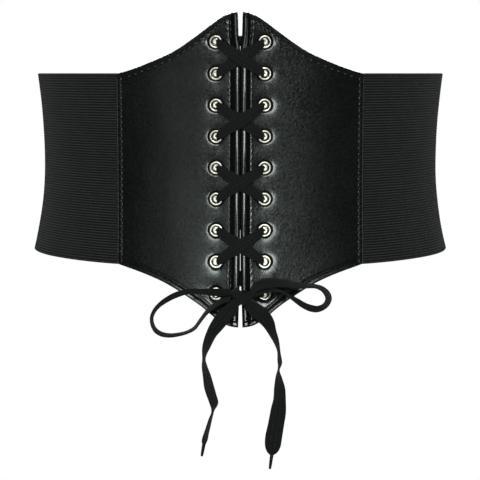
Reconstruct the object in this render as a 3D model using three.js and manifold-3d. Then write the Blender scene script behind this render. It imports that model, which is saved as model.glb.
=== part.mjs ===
// An elastic waist belt with two shaped front panels, nine rows of eyelets and a lace tied in a bow.
// Millimetres, +Z up. The front faces -Y, the wearer's waist runs through the origin along Z.

import * as THREE from 'three';
import { mergeVertices } from 'three/addons/utils/BufferGeometryUtils.js';
import Module from 'manifold-3d';

const wasm = await Module();
wasm.setup();

// Space left between pieces that touch on the real belt
const gap = 0.3;

// The oval that the panels' faces follow at each height, narrowest at its level and flaring from it
const waist = {
  level: -1.5,
  halfWidth: 136.1,
  halfDepth: 95,
  flareHeight: 60,
  flareAbove: 4.2,
  flareBelow: 7.8,
  depthShare: 0.7,
};

const panel = {
  thickness: 2.6,
  seam: 79,
  flangeStart: 71,
  flangeThickness: 1,
  rows: 13,
  rounding: 1.3,
  bluntness: 0.4,
};

// Columns of a panel, in mm from its centre edge and then in mm from the centre front
const edgeColumns = [0, 0.35, 1.3, 5];
const openColumns = [12, 19, 27, 36, 46.5, 58, panel.flangeStart - 0.3, panel.flangeStart, panel.seam];

// Panel outline, as heights over the distance from the centre front
const panelTop = [
  { across: 0, height: 96 },
  { across: 4, height: 95.3 },
  { across: 8, height: 94.1 },
  { across: 12, height: 92.2 },
  { across: 16, height: 89.5 },
  { across: 23, height: 84.3 },
  { across: 32, height: 77.8 },
  { across: 42, height: 71.4 },
  { across: 52, height: 66.8 },
  { across: 63, height: 62.4 },
  { across: 73, height: 59 },
  { across: 79, height: 57.5 },
];
const panelBottom = [
  { across: 0, height: -101.3 },
  { across: 4, height: -101 },
  { across: 8, height: -100.1 },
  { across: 12, height: -98.2 },
  { across: 17, height: -94.8 },
  { across: 25, height: -88.5 },
  { across: 33, height: -83.3 },
  { across: 42, height: -77.9 },
  { across: 50, height: -73.8 },
  { across: 58, height: -70.6 },
  { across: 66, height: -67.9 },
  { across: 79, height: -64 },
];

// Half of the space between the panels down the centre front
const centreGap = [
  { height: 97, half: 1.5 },
  { height: 82, half: 1.1 },
  { height: 65, half: 0.6 },
  { height: 0, half: 0.4 },
  { height: -36, half: 0.45 },
  { height: -62, half: 0.65 },
  { height: -88, half: 0.9 },
  { height: -103, half: 1.4 },
];

const elastic = {
  thickness: 1.6,
  start: 71.4,
  top: 57.5,
  backGap: 0.5,
  columns: 24,
  rows: 7,
};

// The elastic's lower edge rises a little from the panels to the sides
const elasticBottom = [
  { angle: 30, height: -64 },
  { angle: 36, height: -64 },
  { angle: 59, height: -63 },
  { angle: 85, height: -62.2 },
  { angle: 180, height: -62 },
];

const closure = { width: 32, thickness: 1.5, inset: 1.5, columns: 4, rows: 6 };

const eyelet = {
  count: 9,
  top: 77.2,
  pitch: 19.75,
  fromCentre: 15.4,
  sides: 10,
  hole: 2.5,
  barrel: 2.9,
  panelHole: 3.2,
  frontFlange: 4.7,
  backFlange: 4.3,
  flangeCrest: 3.6,
  crestHeight: 0.7,
  lipHeight: 0.4,
};

const lace = { thickness: 1, levelWidth: 6.5 };

// Corners of the flat lace's section, as shares of half its width and half its thickness
const laceSection = [
  { across: 1, through: 0.5 },
  { across: 0.8, through: 1 },
  { across: -0.8, through: 1 },
  { across: -1, through: 0.5 },
  { across: -1, through: -0.5 },
  { across: -0.8, through: -1 },
  { across: 0.8, through: -1 },
  { across: 1, through: -0.5 },
];

// How the lace turns through an eyelet, from the back face to the front: mm towards the centre front,
// mm out from the wall, and how far it already leans to the next eyelet, from 0 to 1
const eyeletTurn = [
  { inward: 6.2, outward: -4.5, lean: 1, width: 5.4, thickness: 1 },
  { inward: 2.7, outward: -4.7, lean: 0.6, width: 4, thickness: 1.1 },
  { inward: 0.8, outward: -3.7, lean: 0, width: 3, thickness: 1.2 },
  { inward: 0.8, outward: 0.9, lean: 0, width: 3, thickness: 1.2 },
  { inward: 2.7, outward: 2.1, lean: 0.6, width: 4, thickness: 1.1 },
  { inward: 6.2, outward: 1.8, lean: 1, width: 5.4, thickness: 1 },
];

// A stretch of lace where it crosses another, as shares of its way between two eyelets
const crossing = [
  { share: 0.36, lift: 0.8, width: 7.6 },
  { share: 0.5, lift: 1, width: 8.2 },
  { share: 0.64, lift: 0.8, width: 7.6 },
];

// How far out from the wall crossing stretches lie; the half from the left eyelet is outermost at the top
// crossing and the half from the right eyelet at the others
const layers = {
  top: { left: 2.5, right: 1 },
  front: { left: 1, right: 2.5 },
  back: { left: -4.2, right: -5.6 },
};

// The bow, on routes in front of the panels; turn is how far the flat lace is turned edge-on
const leftLoopRoute = [
  { x: -5.8, y: -110.8, z: -79.6, width: 6, turn: 64 },
  { x: -10, y: -111.8, z: -78.7, width: 8, turn: 54 },
  { x: -17.1, y: -112.8, z: -78.6, width: 9.4, turn: 57 },
  { x: -25.2, y: -112.8, z: -78.3, width: 9.4, turn: 69 },
  { x: -33.4, y: -112.8, z: -78.6, width: 9.4, turn: 76 },
  { x: -40.3, y: -112.8, z: -81, width: 9.4, turn: 78 },
  { x: -46.8, y: -113, z: -84.4, width: 9.4, turn: 79 },
  { x: -51.9, y: -113, z: -88.2, width: 9.4, turn: 80 },
  { x: -55, y: -113.5, z: -92.9, width: 9.4, turn: 82 },
  { x: -55.4, y: -113.5, z: -97.6, width: 9.4, turn: 84 },
  { x: -53.4, y: -113.5, z: -102.2, width: 9.4, turn: 82 },
  { x: -49.7, y: -113.5, z: -104.9, width: 9.4, turn: 81 },
  { x: -44.7, y: -113.5, z: -105.8, width: 9.4, turn: 81 },
  { x: -39.1, y: -113.5, z: -105.3, width: 9.4, turn: 82 },
  { x: -33, y: -113, z: -103.8, width: 9.4, turn: 83 },
  { x: -28.7, y: -113, z: -101.2, width: 9.4, turn: 80 },
  { x: -25.3, y: -113, z: -96.8, width: 9.4, turn: 78 },
  { x: -21.2, y: -112.5, z: -91.5, width: 9, turn: 76 },
  { x: -16.5, y: -112, z: -87.2, width: 8, turn: 74 },
  { x: -11.4, y: -111.5, z: -84.4, width: 6.5, turn: 70 },
  { x: -6.2, y: -110.8, z: -83, width: 5, turn: 66 },
];
const rightLoopRoute = [
  { x: 7.4, y: -111, z: -78.6, width: 5.5, turn: 50 },
  { x: 10.4, y: -112.2, z: -75.4, width: 7.5, turn: 52 },
  { x: 14.6, y: -113, z: -73.1, width: 9.4, turn: 56 },
  { x: 20.5, y: -113.2, z: -72.5, width: 9.4, turn: 60 },
  { x: 28, y: -113.2, z: -72.8, width: 9.4, turn: 62 },
  { x: 35.5, y: -113.2, z: -73.5, width: 9.4, turn: 64 },
  { x: 42.4, y: -113.2, z: -74.2, width: 9.4, turn: 68 },
  { x: 47.3, y: -113.2, z: -74.9, width: 9.4, turn: 70 },
  { x: 51.4, y: -113.2, z: -76.6, width: 9.4, turn: 72 },
  { x: 54.1, y: -113.5, z: -79.6, width: 9.4, turn: 74 },
  { x: 54.6, y: -113.5, z: -83.3, width: 9.4, turn: 74 },
  { x: 52.7, y: -113.5, z: -87, width: 9.4, turn: 74 },
  { x: 48.6, y: -113.5, z: -89.1, width: 9.4, turn: 73 },
  { x: 44.3, y: -113.5, z: -88.7, width: 9.4, turn: 73 },
  { x: 39.9, y: -113.5, z: -86.8, width: 9.4, turn: 75 },
  { x: 35.5, y: -113.5, z: -84, width: 9.4, turn: 77 },
  { x: 31.1, y: -113, z: -81.1, width: 9.4, turn: 82 },
  { x: 26.1, y: -112.5, z: -78.4, width: 9, turn: 92 },
  { x: 20.5, y: -112.2, z: -77, width: 8.4, turn: 104 },
  { x: 14.4, y: -111.8, z: -77.5, width: 7.4, turn: 114 },
  { x: 8.6, y: -110.8, z: -80.4, width: 5.2, turn: 116 },
];
const leftTailRoute = [
  { x: -2.7, y: -110.8, z: -87, width: 6.5, turn: 10 },
  { x: -6.1, y: -111.8, z: -90, width: 8.6, turn: 6 },
  { x: -10.2, y: -112.5, z: -94, width: 9.4, turn: 8 },
  { x: -14.4, y: -113, z: -99.4, width: 9.4, turn: 20 },
  { x: -18.2, y: -113.5, z: -105.2, width: 9.4, turn: 42 },
  { x: -21, y: -113.5, z: -111.9, width: 9.2, turn: 64 },
  { x: -22.8, y: -113.5, z: -119.5, width: 9, turn: 82 },
  { x: -22.6, y: -113.5, z: -125.3, width: 9.2, turn: 72 },
  { x: -21.1, y: -113.5, z: -131.7, width: 9.4, turn: 62 },
  { x: -19.7, y: -113.5, z: -138.6, width: 9.4, turn: 58 },
  { x: -17.7, y: -113.5, z: -145.1, width: 9.4, turn: 56 },
  { x: -16.4, y: -113.5, z: -149.8, width: 9.4, turn: 60 },
  { x: -17.3, y: -113.5, z: -154.4, width: 9, turn: 80 },
  { x: -18.8, y: -113.5, z: -159, width: 9, turn: 76 },
  { x: -20.3, y: -113.5, z: -164.3, width: 9, turn: 72 },
  { x: -21.8, y: -113.5, z: -169.6, width: 7, turn: 60 },
  { x: -22.8, y: -113.5, z: -174.4, width: 2.4, turn: 45 },
];
const rightTailRoute = [
  { x: 4.6, y: -110.8, z: -86.4, width: 6.5, turn: -10 },
  { x: 8.8, y: -111.8, z: -89.4, width: 8.8, turn: -6 },
  { x: 13.6, y: -112.5, z: -93.2, width: 9.6, turn: -8 },
  { x: 17.4, y: -113, z: -97.9, width: 9.6, turn: -30 },
  { x: 19.8, y: -113.5, z: -103.4, width: 9.4, turn: -52 },
  { x: 22.4, y: -113.5, z: -109.6, width: 9.2, turn: -66 },
  { x: 24.2, y: -113.5, z: -116.4, width: 9, turn: -80 },
  { x: 24.8, y: -113.5, z: -122.7, width: 9, turn: -74 },
  { x: 24.1, y: -113.5, z: -127.5, width: 8.6, turn: -88 },
  { x: 24.3, y: -113.5, z: -132.4, width: 8.8, turn: -66 },
  { x: 24.8, y: -113.5, z: -139.3, width: 9.4, turn: -44 },
  { x: 24.6, y: -113.5, z: -147.6, width: 9.8, turn: -28 },
  { x: 23.8, y: -113.5, z: -155.3, width: 10, turn: -10 },
  { x: 22.6, y: -113.5, z: -163, width: 10, turn: 0 },
  { x: 21.1, y: -113.5, z: -170.7, width: 10.2, turn: 0 },
  { x: 20.3, y: -113.5, z: -176.8, width: 7.4, turn: 0 },
  { x: 19.9, y: -113.5, z: -182.2, width: 2.4, turn: 0 },
];

const knot = {
  x: 1.2,
  y: -109.9,
  z: -82,
  halfWidth: 6,
  halfDepth: 3.6,
  halfHeight: 4.4,
  sides: 12,
  rings: 8,
  laceReach: 5.7,
  laceOutward: 3.6,
  laceWidth: 5,
};

// Each tip runs on from its tail's last point
const tip = { radius: 1.1, endRadius: 0.7, sides: 8 };
const tipEnds = {
  left: { x: -24.4, y: -113.5, z: -183.2 },
  right: { x: 18.7, y: -113.5, z: -191.4 },
};

const colours = {
  leather: 0x141415,
  elastic: 0x16161a,
  lace: 0x0e0e10,
  metal: 0xc9c9c6,
  tip: 0x101012,
};

const material = {
  leather: new THREE.MeshStandardMaterial({ color: colours.leather, roughness: 0.4, metalness: 0 }),
  elastic: new THREE.MeshStandardMaterial({ color: colours.elastic, roughness: 0.9, metalness: 0 }),
  lace: new THREE.MeshStandardMaterial({ color: colours.lace, roughness: 0.95, metalness: 0 }),
  metal: new THREE.MeshStandardMaterial({ color: colours.metal, roughness: 0.25, metalness: 1 }),
  tip: new THREE.MeshStandardMaterial({ color: colours.tip, roughness: 0.5, metalness: 0 }),
};

const radians = THREE.MathUtils.degToRad;
const degrees = THREE.MathUtils.radToDeg;

// Value of one column of a table at a place along another, smooth between the rows
function tableValue(table, along, column, at) {
  const rising = table[table.length - 1][along] > table[0][along];
  const rows = rising ? table : [...table].reverse();
  if (at <= rows[0][along]) return rows[0][column];
  const last = rows.length - 1;
  if (at >= rows[last][along]) return rows[last][column];
  const high = rows.findIndex((row) => row[along] > at);
  const span = rows[high][along] - rows[high - 1][along];
  const share = (at - rows[high - 1][along]) / span;
  const slope = (index) => {
    const before = rows[Math.max(index - 1, 0)];
    const after = rows[Math.min(index + 1, last)];
    return (after[column] - before[column]) / (after[along] - before[along]);
  };
  const cube = share ** 3;
  const square = share ** 2;
  return (2 * cube - 3 * square + 1) * rows[high - 1][column]
    + (cube - 2 * square + share) * span * slope(high - 1)
    + (3 * square - 2 * cube) * rows[high][column]
    + (cube - square) * span * slope(high);
}

function flareAt(height) {
  const away = (height - waist.level) / waist.flareHeight;
  const flare = away > 0 ? waist.flareAbove : waist.flareBelow;
  return { out: flare * away * away, slope: (2 * flare * away) / waist.flareHeight };
}

// A point on the waist oval, moved outward along the wall's normal; angle 0 is the centre front
function wallPoint(angle, height, outward = 0) {
  const turn = radians(angle);
  const flare = flareAt(height);
  const a = waist.halfWidth + flare.out;
  const b = waist.halfDepth + flare.out * waist.depthShare;
  const point = new THREE.Vector3(a * Math.sin(turn), -b * Math.cos(turn), height);
  return point.addScaledVector(wallNormal(angle, height), outward);
}

function wallNormal(angle, height) {
  const turn = radians(angle);
  const flare = flareAt(height);
  const a = waist.halfWidth + flare.out;
  const b = waist.halfDepth + flare.out * waist.depthShare;
  const sine = Math.sin(turn);
  const cosine = Math.cos(turn);
  const upward = -flare.slope * (sine * sine / a + (waist.depthShare * cosine * cosine) / b);
  return new THREE.Vector3(sine / a, -cosine / b, upward).normalize();
}

// Angle that lies a distance along the wall from a starting angle
function angleAfter(start, height, distance) {
  const steps = 12;
  let angle = start;
  for (let step = 0; step < steps; step += 1) {
    const here = wallPoint(angle, height);
    const near = wallPoint(angle + 0.01, height);
    angle += (0.01 * distance) / steps / here.distanceTo(near);
  }
  return angle;
}

// Angle at which the wall lies a distance to the side of the centre front
function angleAcross(across, height) {
  return degrees(Math.asin(across / (waist.halfWidth + flareAt(height).out)));
}

// A closed wall from a box grid, whose place gives the point for each column, row and face
function wallGeometry(columns, rows, place) {
  const box = new THREE.BoxGeometry(1, 1, 1, columns, rows, 1);
  const position = box.getAttribute('position');
  for (let index = 0; index < position.count; index += 1) {
    const column = Math.round((position.getX(index) + 0.5) * columns);
    const row = Math.round((position.getY(index) + 0.5) * rows);
    const isOuter = position.getZ(index) < 0;
    const point = place(column, row, isOuter);
    position.setXYZ(index, point.x, point.y, point.z);
  }
  return outwardFacing(welded(box));
}

function welded(geometry) {
  geometry.deleteAttribute('normal');
  geometry.deleteAttribute('uv');
  return mergeVertices(geometry, 1e-4);
}

// Turns every face over where the closed form came out inside out
function outwardFacing(geometry) {
  const position = geometry.getAttribute('position');
  const index = geometry.getIndex();
  const corners = [new THREE.Vector3(), new THREE.Vector3(), new THREE.Vector3()];
  let volume = 0;
  for (let face = 0; face < index.count; face += 3) {
    corners.forEach((corner, place) => corner.fromBufferAttribute(position, index.getX(face + place)));
    volume += corners[0].dot(corners[1].clone().cross(corners[2]));
  }
  if (volume < 0) {
    for (let face = 0; face < index.count; face += 3) {
      const second = index.getX(face + 1);
      index.setX(face + 1, index.getX(face + 2));
      index.setX(face + 2, second);
    }
  }
  return geometry;
}

function toSolid(geometry) {
  const merged = geometry.index ? geometry : welded(geometry);
  return new wasm.Manifold(new wasm.Mesh({
    numProp: 3,
    vertProperties: new Float32Array(merged.getAttribute('position').array),
    triVerts: new Uint32Array(merged.getIndex().array),
  }));
}

function fromSolid(solid) {
  const mesh = solid.getMesh();
  const geometry = new THREE.BufferGeometry();
  geometry.setAttribute('position', new THREE.BufferAttribute(mesh.vertProperties, 3));
  geometry.setIndex(new THREE.BufferAttribute(mesh.triVerts, 1));
  return geometry;
}

// How much of the wall's thickness is left at a distance from a rounded edge
function roundedShare(distance) {
  const short = Math.max(0, 1 - distance / panel.rounding);
  return panel.bluntness + (1 - panel.bluntness) * Math.sqrt(1 - short * short);
}

// Heights up one column: close together at both hems, even between them
function hemmedHeight(bottom, top, row) {
  const near = [0, 0.35, 1.3];
  const inner = near[near.length - 1];
  const rows = panel.rows + 2 * (near.length - 1);
  if (row < near.length) return bottom + near[row];
  if (row > rows - near.length) return top - near[rows - row];
  const share = (row - near.length + 1) / panel.rows;
  return bottom + inner + share * (top - bottom - 2 * inner);
}

// Angle and height of one corner of a panel's grid, and how far it lies from the rounded edges
function panelSpot(column, row) {
  const isNear = column < edgeColumns.length;
  const fromEdge = isNear ? edgeColumns[column] : panel.rounding;
  let height = 0;
  let across = isNear ? fromEdge : openColumns[column - edgeColumns.length];
  let top = 0;
  let bottom = 0;
  for (let pass = 0; pass < 3; pass += 1) {
    if (isNear) across = fromEdge + tableValue(centreGap, 'height', 'half', height);
    top = tableValue(panelTop, 'across', 'height', across);
    bottom = tableValue(panelBottom, 'across', 'height', across);
    height = hemmedHeight(bottom, top, row);
  }
  const fromHem = Math.min(top - height, height - bottom);
  return { across, height, fromEdge, fromHem };
}

function panelGeometry(side) {
  const columns = edgeColumns.length + openColumns.length - 1;
  const rows = panel.rows + 4;
  const place = (column, row, isOuter) => {
    const spot = panelSpot(column, row);
    const isFlange = spot.across >= panel.flangeStart;
    const thickness = isFlange ? panel.flangeThickness : panel.thickness;
    const share = Math.min(roundedShare(spot.fromHem), roundedShare(spot.fromEdge));
    const middle = -thickness / 2;
    const half = (thickness / 2) * share;
    const angle = side * angleAcross(spot.across, spot.height);
    return wallPoint(angle, spot.height, isOuter ? middle + half : middle - half);
  };
  const wall = toSolid(wallGeometry(columns, rows, place));
  const drills = eyeletPlaces(side).map((spot) => toSolid(drillGeometry(spot)));
  const cut = drills.reduce((solid, drill) => solid.subtract(drill), wall);
  return fromSolid(cut);
}

function eyeletPlaces(side) {
  return Array.from({ length: eyelet.count }, (unused, row) => {
    const height = rowHeight(row);
    return { row, side, angle: side * angleAcross(eyelet.fromCentre, height), height };
  });
}

// The turn that stands a lathed form's axis along the wall's normal, its seam towards the side
function standOnWall(spot) {
  const up = wallNormal(spot.angle, spot.height);
  return new THREE.Quaternion().setFromUnitVectors(new THREE.Vector3(0, 1, 0), up);
}

function drillGeometry(spot) {
  const length = panel.thickness * 3;
  const drill = new THREE.CylinderGeometry(eyelet.panelHole, eyelet.panelHole, length, eyelet.sides);
  const centre = wallPoint(spot.angle, spot.height, -panel.thickness / 2);
  const matrix = new THREE.Matrix4().compose(centre, standOnWall(spot), new THREE.Vector3(1, 1, 1));
  drill.applyMatrix4(matrix);
  return welded(drill);
}

// A ring with a flange on each face of the panel and a barrel between them
function eyeletGeometry() {
  const front = gap;
  const back = -panel.thickness - gap;
  const profile = [
    new THREE.Vector2(eyelet.hole, back - eyelet.lipHeight),
    new THREE.Vector2(eyelet.backFlange, back),
    new THREE.Vector2(eyelet.barrel, back),
    new THREE.Vector2(eyelet.barrel, front),
    new THREE.Vector2(eyelet.frontFlange, front),
    new THREE.Vector2(eyelet.flangeCrest, front + eyelet.crestHeight),
    new THREE.Vector2(eyelet.hole, front + eyelet.lipHeight),
  ];
  const lathe = new THREE.LatheGeometry([...profile, profile[0]], eyelet.sides);
  return outwardFacing(welded(lathe));
}

function eyeletMesh(spot, geometry) {
  const side = spot.side < 0 ? 'left' : 'right';
  const mesh = named(`eyelet_${side}_${spot.row + 1}`, geometry, material.metal);
  mesh.position.copy(wallPoint(spot.angle, spot.height));
  mesh.quaternion.copy(standOnWall(spot));
  return mesh;
}

// One half of the elastic, from behind its panel round to the centre back
function elasticGeometry(side) {
  const outer = -panel.flangeThickness - gap;
  const end = angleAfter(180, 0, -elastic.backGap);
  return wallGeometry(elastic.columns, elastic.rows, (column, row, isOuter) => {
    let height = 0;
    let angle = 0;
    for (let pass = 0; pass < 3; pass += 1) {
      const start = angleAcross(elastic.start, height);
      angle = start + ((end - start) * column) / elastic.columns;
      const bottom = tableValue(elasticBottom, 'angle', 'height', angle);
      height = bottom + ((elastic.top - bottom) * row) / elastic.rows;
    }
    return wallPoint(side * angle, height, isOuter ? outer : outer - elastic.thickness);
  });
}

// The strip over both ends of the elastic at the centre back
function closureGeometry() {
  const inner = -panel.flangeThickness;
  const start = angleAfter(180, 0, -closure.width / 2);
  const end = angleAfter(180, 0, closure.width / 2);
  const bottom = elasticBottom[elasticBottom.length - 1].height + closure.inset;
  const top = elastic.top - closure.inset;
  return wallGeometry(closure.columns, closure.rows, (column, row, isOuter) => {
    const angle = start + ((end - start) * column) / closure.columns;
    const height = bottom + ((top - bottom) * row) / closure.rows;
    return wallPoint(angle, height, isOuter ? inner + closure.thickness : inner);
  });
}

// A flat closed strip along spots that carry a point, a width, a thickness and a width direction
function stripGeometry(spots) {
  const steps = spots.length - 1;
  const sides = laceSection.length;
  const form = new THREE.CylinderGeometry(1, 1, 1, sides, steps);
  const position = form.getAttribute('position');
  for (let index = 0; index < position.count; index += 1) {
    const spot = spots[Math.round((0.5 - position.getY(index)) * steps)];
    const isRim = Math.hypot(position.getX(index), position.getZ(index)) > 0.5;
    const round = Math.atan2(position.getZ(index), position.getX(index)) / (2 * Math.PI);
    const corner = laceSection[Math.round((round + 1) * sides) % sides];
    const facing = new THREE.Vector3().crossVectors(tangentAt(spots, spot), spot.across);
    const point = spot.point.clone();
    if (isRim) {
      point.addScaledVector(spot.across, (corner.across * spot.width) / 2);
      point.addScaledVector(facing, (corner.through * spot.thickness) / 2);
    }
    position.setXYZ(index, point.x, point.y, point.z);
  }
  return outwardFacing(welded(form));
}

function tangentAt(spots, spot) {
  const index = spots.indexOf(spot);
  const before = spots[Math.max(index - 1, 0)].point;
  const after = spots[Math.min(index + 1, spots.length - 1)].point;
  return new THREE.Vector3().subVectors(after, before).normalize();
}

// Makes each width direction square to the way the strip runs there
function squared(spots) {
  spots.forEach((spot) => {
    const tangent = tangentAt(spots, spot);
    spot.across.addScaledVector(tangent, -spot.across.dot(tangent)).normalize();
  });
  return spots;
}

// A spot of the lacing on the wall; slope tilts its width from upright, and is the rise per mm of
// the way it runs
function lacingSpot(fromCentre, height, outward, size, slope) {
  const angle = angleAcross(fromCentre, height);
  const normal = wallNormal(angle, height);
  const across = new THREE.Vector3(-slope, 0, 1);
  across.addScaledVector(normal, -across.dot(normal)).normalize();
  const point = wallPoint(angle, height, outward);
  return { point, across, width: size.width, thickness: size.thickness ?? lace.thickness };
}

// The turn through the eyelet of one row; slopes are the rise per mm rightward behind and in front
function eyeletSpots(side, row, backSlope, frontSlope) {
  return eyeletTurn.map((step) => {
    const slope = (step.outward < 0 ? backSlope : frontSlope) * step.lean;
    const height = rowHeight(row) - side * slope * step.inward;
    return lacingSpot(side * (eyelet.fromCentre - step.inward), height, step.outward, step, slope);
  });
}

function crossingSpots(side, row, outward, restOutward) {
  const slope = (side * eyelet.pitch) / (2 * eyelet.fromCentre);
  return crossing.map((step) => {
    const fromCentre = side * eyelet.fromCentre * (1 - 2 * step.share);
    const height = rowHeight(row) - eyelet.pitch * step.share;
    const lifted = restOutward + (outward - restOutward) * step.lift;
    return lacingSpot(fromCentre, height, lifted, step, slope);
  });
}

function rowHeight(row) {
  return eyelet.top - row * eyelet.pitch;
}

// Half of the lacing, from behind the top row down to the bow, starting at the eyelet of one side
function lacingHalf(startSide, layerName) {
  const spots = [];
  const fullSlope = eyelet.pitch / (2 * eyelet.fromCentre);
  const rows = Array.from({ length: eyelet.count }, (unused, row) => row);
  rows.forEach((row) => {
    const side = row % 2 === 0 ? startSide : -startSide;
    const goesOut = row % 2 === 0;
    const isLast = row === eyelet.count - 1;
    const slopeBefore = row === 0 ? 0 : -side * fullSlope;
    const slopeAfter = isLast ? 0 : side * fullSlope;
    const backSlope = goesOut ? slopeBefore : slopeAfter;
    const frontSlope = goesOut ? slopeAfter : slopeBefore;
    const turn = eyeletSpots(side, row, backSlope, frontSlope);
    spots.push(...(goesOut ? turn : turn.reverse()));
    if (isLast) return;
    const front = row === 0 ? 'top' : 'front';
    const face = goesOut ? front : 'back';
    const rest = eyeletTurn[goesOut ? eyeletTurn.length - 1 : 0].outward;
    spots.push(...crossingSpots(side, row, layers[face][layerName], rest));
  });
  return spots;
}

// The whole stretch that the eyelets hold, from one side of the knot to the other
function lacingGeometry() {
  const behindTop = eyeletTurn[0].outward;
  const level = { width: lace.levelWidth };
  const bar = lacingSpot(0, rowHeight(0), behindTop, level, 0);
  const bottom = rowHeight(eyelet.count - 1);
  const ends = [-1, 1].map((side) => {
    const fromCentre = knot.x + side * knot.laceReach;
    return lacingSpot(fromCentre, bottom, knot.laceOutward, { width: knot.laceWidth }, 0);
  });
  const spots = [
    ends[1],
    ...lacingHalf(1, 'right').reverse(),
    bar,
    ...lacingHalf(-1, 'left'),
    ends[0],
  ];
  return stripGeometry(squared(spots));
}

// Spots along a route of the bow; turn tips the flat lace from facing the front to edge-on
function routeSpots(route) {
  const spots = route.map((row) => ({
    point: new THREE.Vector3(row.x, row.y, row.z),
    width: row.width,
    thickness: lace.thickness,
  }));
  spots.forEach((spot, index) => {
    const tangent = tangentAt(spots, spot);
    const front = new THREE.Vector3(0, -1, 0);
    front.addScaledVector(tangent, -front.dot(tangent)).normalize();
    const sideways = new THREE.Vector3().crossVectors(tangent, front);
    const turn = radians(route[index].turn);
    spot.across = sideways.multiplyScalar(Math.cos(turn)).addScaledVector(front, Math.sin(turn));
  });
  return squared(spots);
}

function knotGeometry() {
  const form = new THREE.SphereGeometry(1, knot.sides, knot.rings);
  form.scale(knot.halfWidth, knot.halfDepth, knot.halfHeight);
  form.translate(knot.x, knot.y, knot.z);
  return outwardFacing(welded(form));
}

// A thin tip that runs on from the last point of a tail
function tipGeometry(route, end) {
  const last = route[route.length - 1];
  const tailEnd = new THREE.Vector3(last.x, last.y, last.z);
  const tipEnd = new THREE.Vector3(end.x, end.y, end.z);
  const way = new THREE.Vector3().subVectors(tipEnd, tailEnd);
  const length = way.length() - gap;
  const form = new THREE.CylinderGeometry(tip.endRadius, tip.radius, length, tip.sides);
  const middle = tipEnd.addScaledVector(way.normalize(), -length / 2);
  const turn = new THREE.Quaternion().setFromUnitVectors(new THREE.Vector3(0, 1, 0), way);
  form.applyMatrix4(new THREE.Matrix4().compose(middle, turn, new THREE.Vector3(1, 1, 1)));
  return welded(form);
}

function named(name, geometry, itsMaterial) {
  const mesh = new THREE.Mesh(geometry, itsMaterial);
  mesh.name = name;
  return mesh;
}

const belt = new THREE.Group();
belt.add(named('panel_left', panelGeometry(-1), material.leather));
belt.add(named('panel_right', panelGeometry(1), material.leather));
belt.add(named('elastic_left', elasticGeometry(-1), material.elastic));
belt.add(named('elastic_right', elasticGeometry(1), material.elastic));
belt.add(named('back_closure', closureGeometry(), material.leather));
const ring = eyeletGeometry();
[-1, 1].forEach((side) => {
  eyeletPlaces(side).forEach((spot) => belt.add(eyeletMesh(spot, ring)));
});

belt.add(named('lacing', lacingGeometry(), material.lace));
belt.add(named('bow_knot', knotGeometry(), material.lace));
belt.add(named('bow_loop_left', stripGeometry(routeSpots(leftLoopRoute)), material.lace));
belt.add(named('bow_loop_right', stripGeometry(routeSpots(rightLoopRoute)), material.lace));
belt.add(named('bow_tail_left', stripGeometry(routeSpots(leftTailRoute)), material.lace));
belt.add(named('bow_tail_right', stripGeometry(routeSpots(rightTailRoute)), material.lace));
belt.add(named('lace_tip_left', tipGeometry(leftTailRoute, tipEnds.left), material.tip));
belt.add(named('lace_tip_right', tipGeometry(rightTailRoute, tipEnds.right), material.tip));

export default belt;
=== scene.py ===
import math

import bmesh
import bpy
from mathutils import Matrix, Vector, noise


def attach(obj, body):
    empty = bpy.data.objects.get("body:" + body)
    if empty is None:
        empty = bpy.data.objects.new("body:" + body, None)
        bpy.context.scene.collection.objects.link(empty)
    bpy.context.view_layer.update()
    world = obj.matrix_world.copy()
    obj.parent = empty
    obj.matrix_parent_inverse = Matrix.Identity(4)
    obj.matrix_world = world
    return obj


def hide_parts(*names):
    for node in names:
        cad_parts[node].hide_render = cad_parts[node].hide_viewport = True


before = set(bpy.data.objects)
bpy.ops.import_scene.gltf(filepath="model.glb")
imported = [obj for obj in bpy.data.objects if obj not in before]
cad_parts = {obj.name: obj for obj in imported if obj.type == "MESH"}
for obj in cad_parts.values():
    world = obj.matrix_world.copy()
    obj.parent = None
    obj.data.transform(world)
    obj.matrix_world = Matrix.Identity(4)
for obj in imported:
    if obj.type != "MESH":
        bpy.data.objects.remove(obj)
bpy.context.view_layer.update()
print("frame loaded:", len(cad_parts), "nodes")

mm = 0.001  # every table below is in millimetres, +Z up, the front faces -Y


def addObject(name, data):
    made = bpy.data.objects.new(name, data)
    bpy.context.scene.collection.objects.link(made)
    return made


def meshFrom(name, bm):
    mesh = bpy.data.meshes.new(name)
    bm.to_mesh(mesh)
    bm.free()
    return mesh


# Camera at the photograph's angle

cameraView = {
    "aim": (-0.19, -95, -47.6),
    "distance": 1000,
    "pitch": 6,
    "lens": 118.1,
    "sensor": 36,
}


def makeCamera():
    data = bpy.data.cameras.new("photoCamera")
    data.lens = cameraView["lens"]
    data.sensor_width = cameraView["sensor"]
    data.sensor_fit = "HORIZONTAL"
    camera = addObject("photoCamera", data)
    pitch = math.radians(cameraView["pitch"])
    back = Vector((0, -math.cos(pitch), math.sin(pitch))) * cameraView["distance"]
    camera.location = (Vector(cameraView["aim"]) + back) * mm
    camera.rotation_euler = (math.pi / 2 - pitch, 0, 0)
    bpy.context.scene.camera = camera


makeCamera()
print("camera placed")


# Small shaping functions used by every piece

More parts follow.
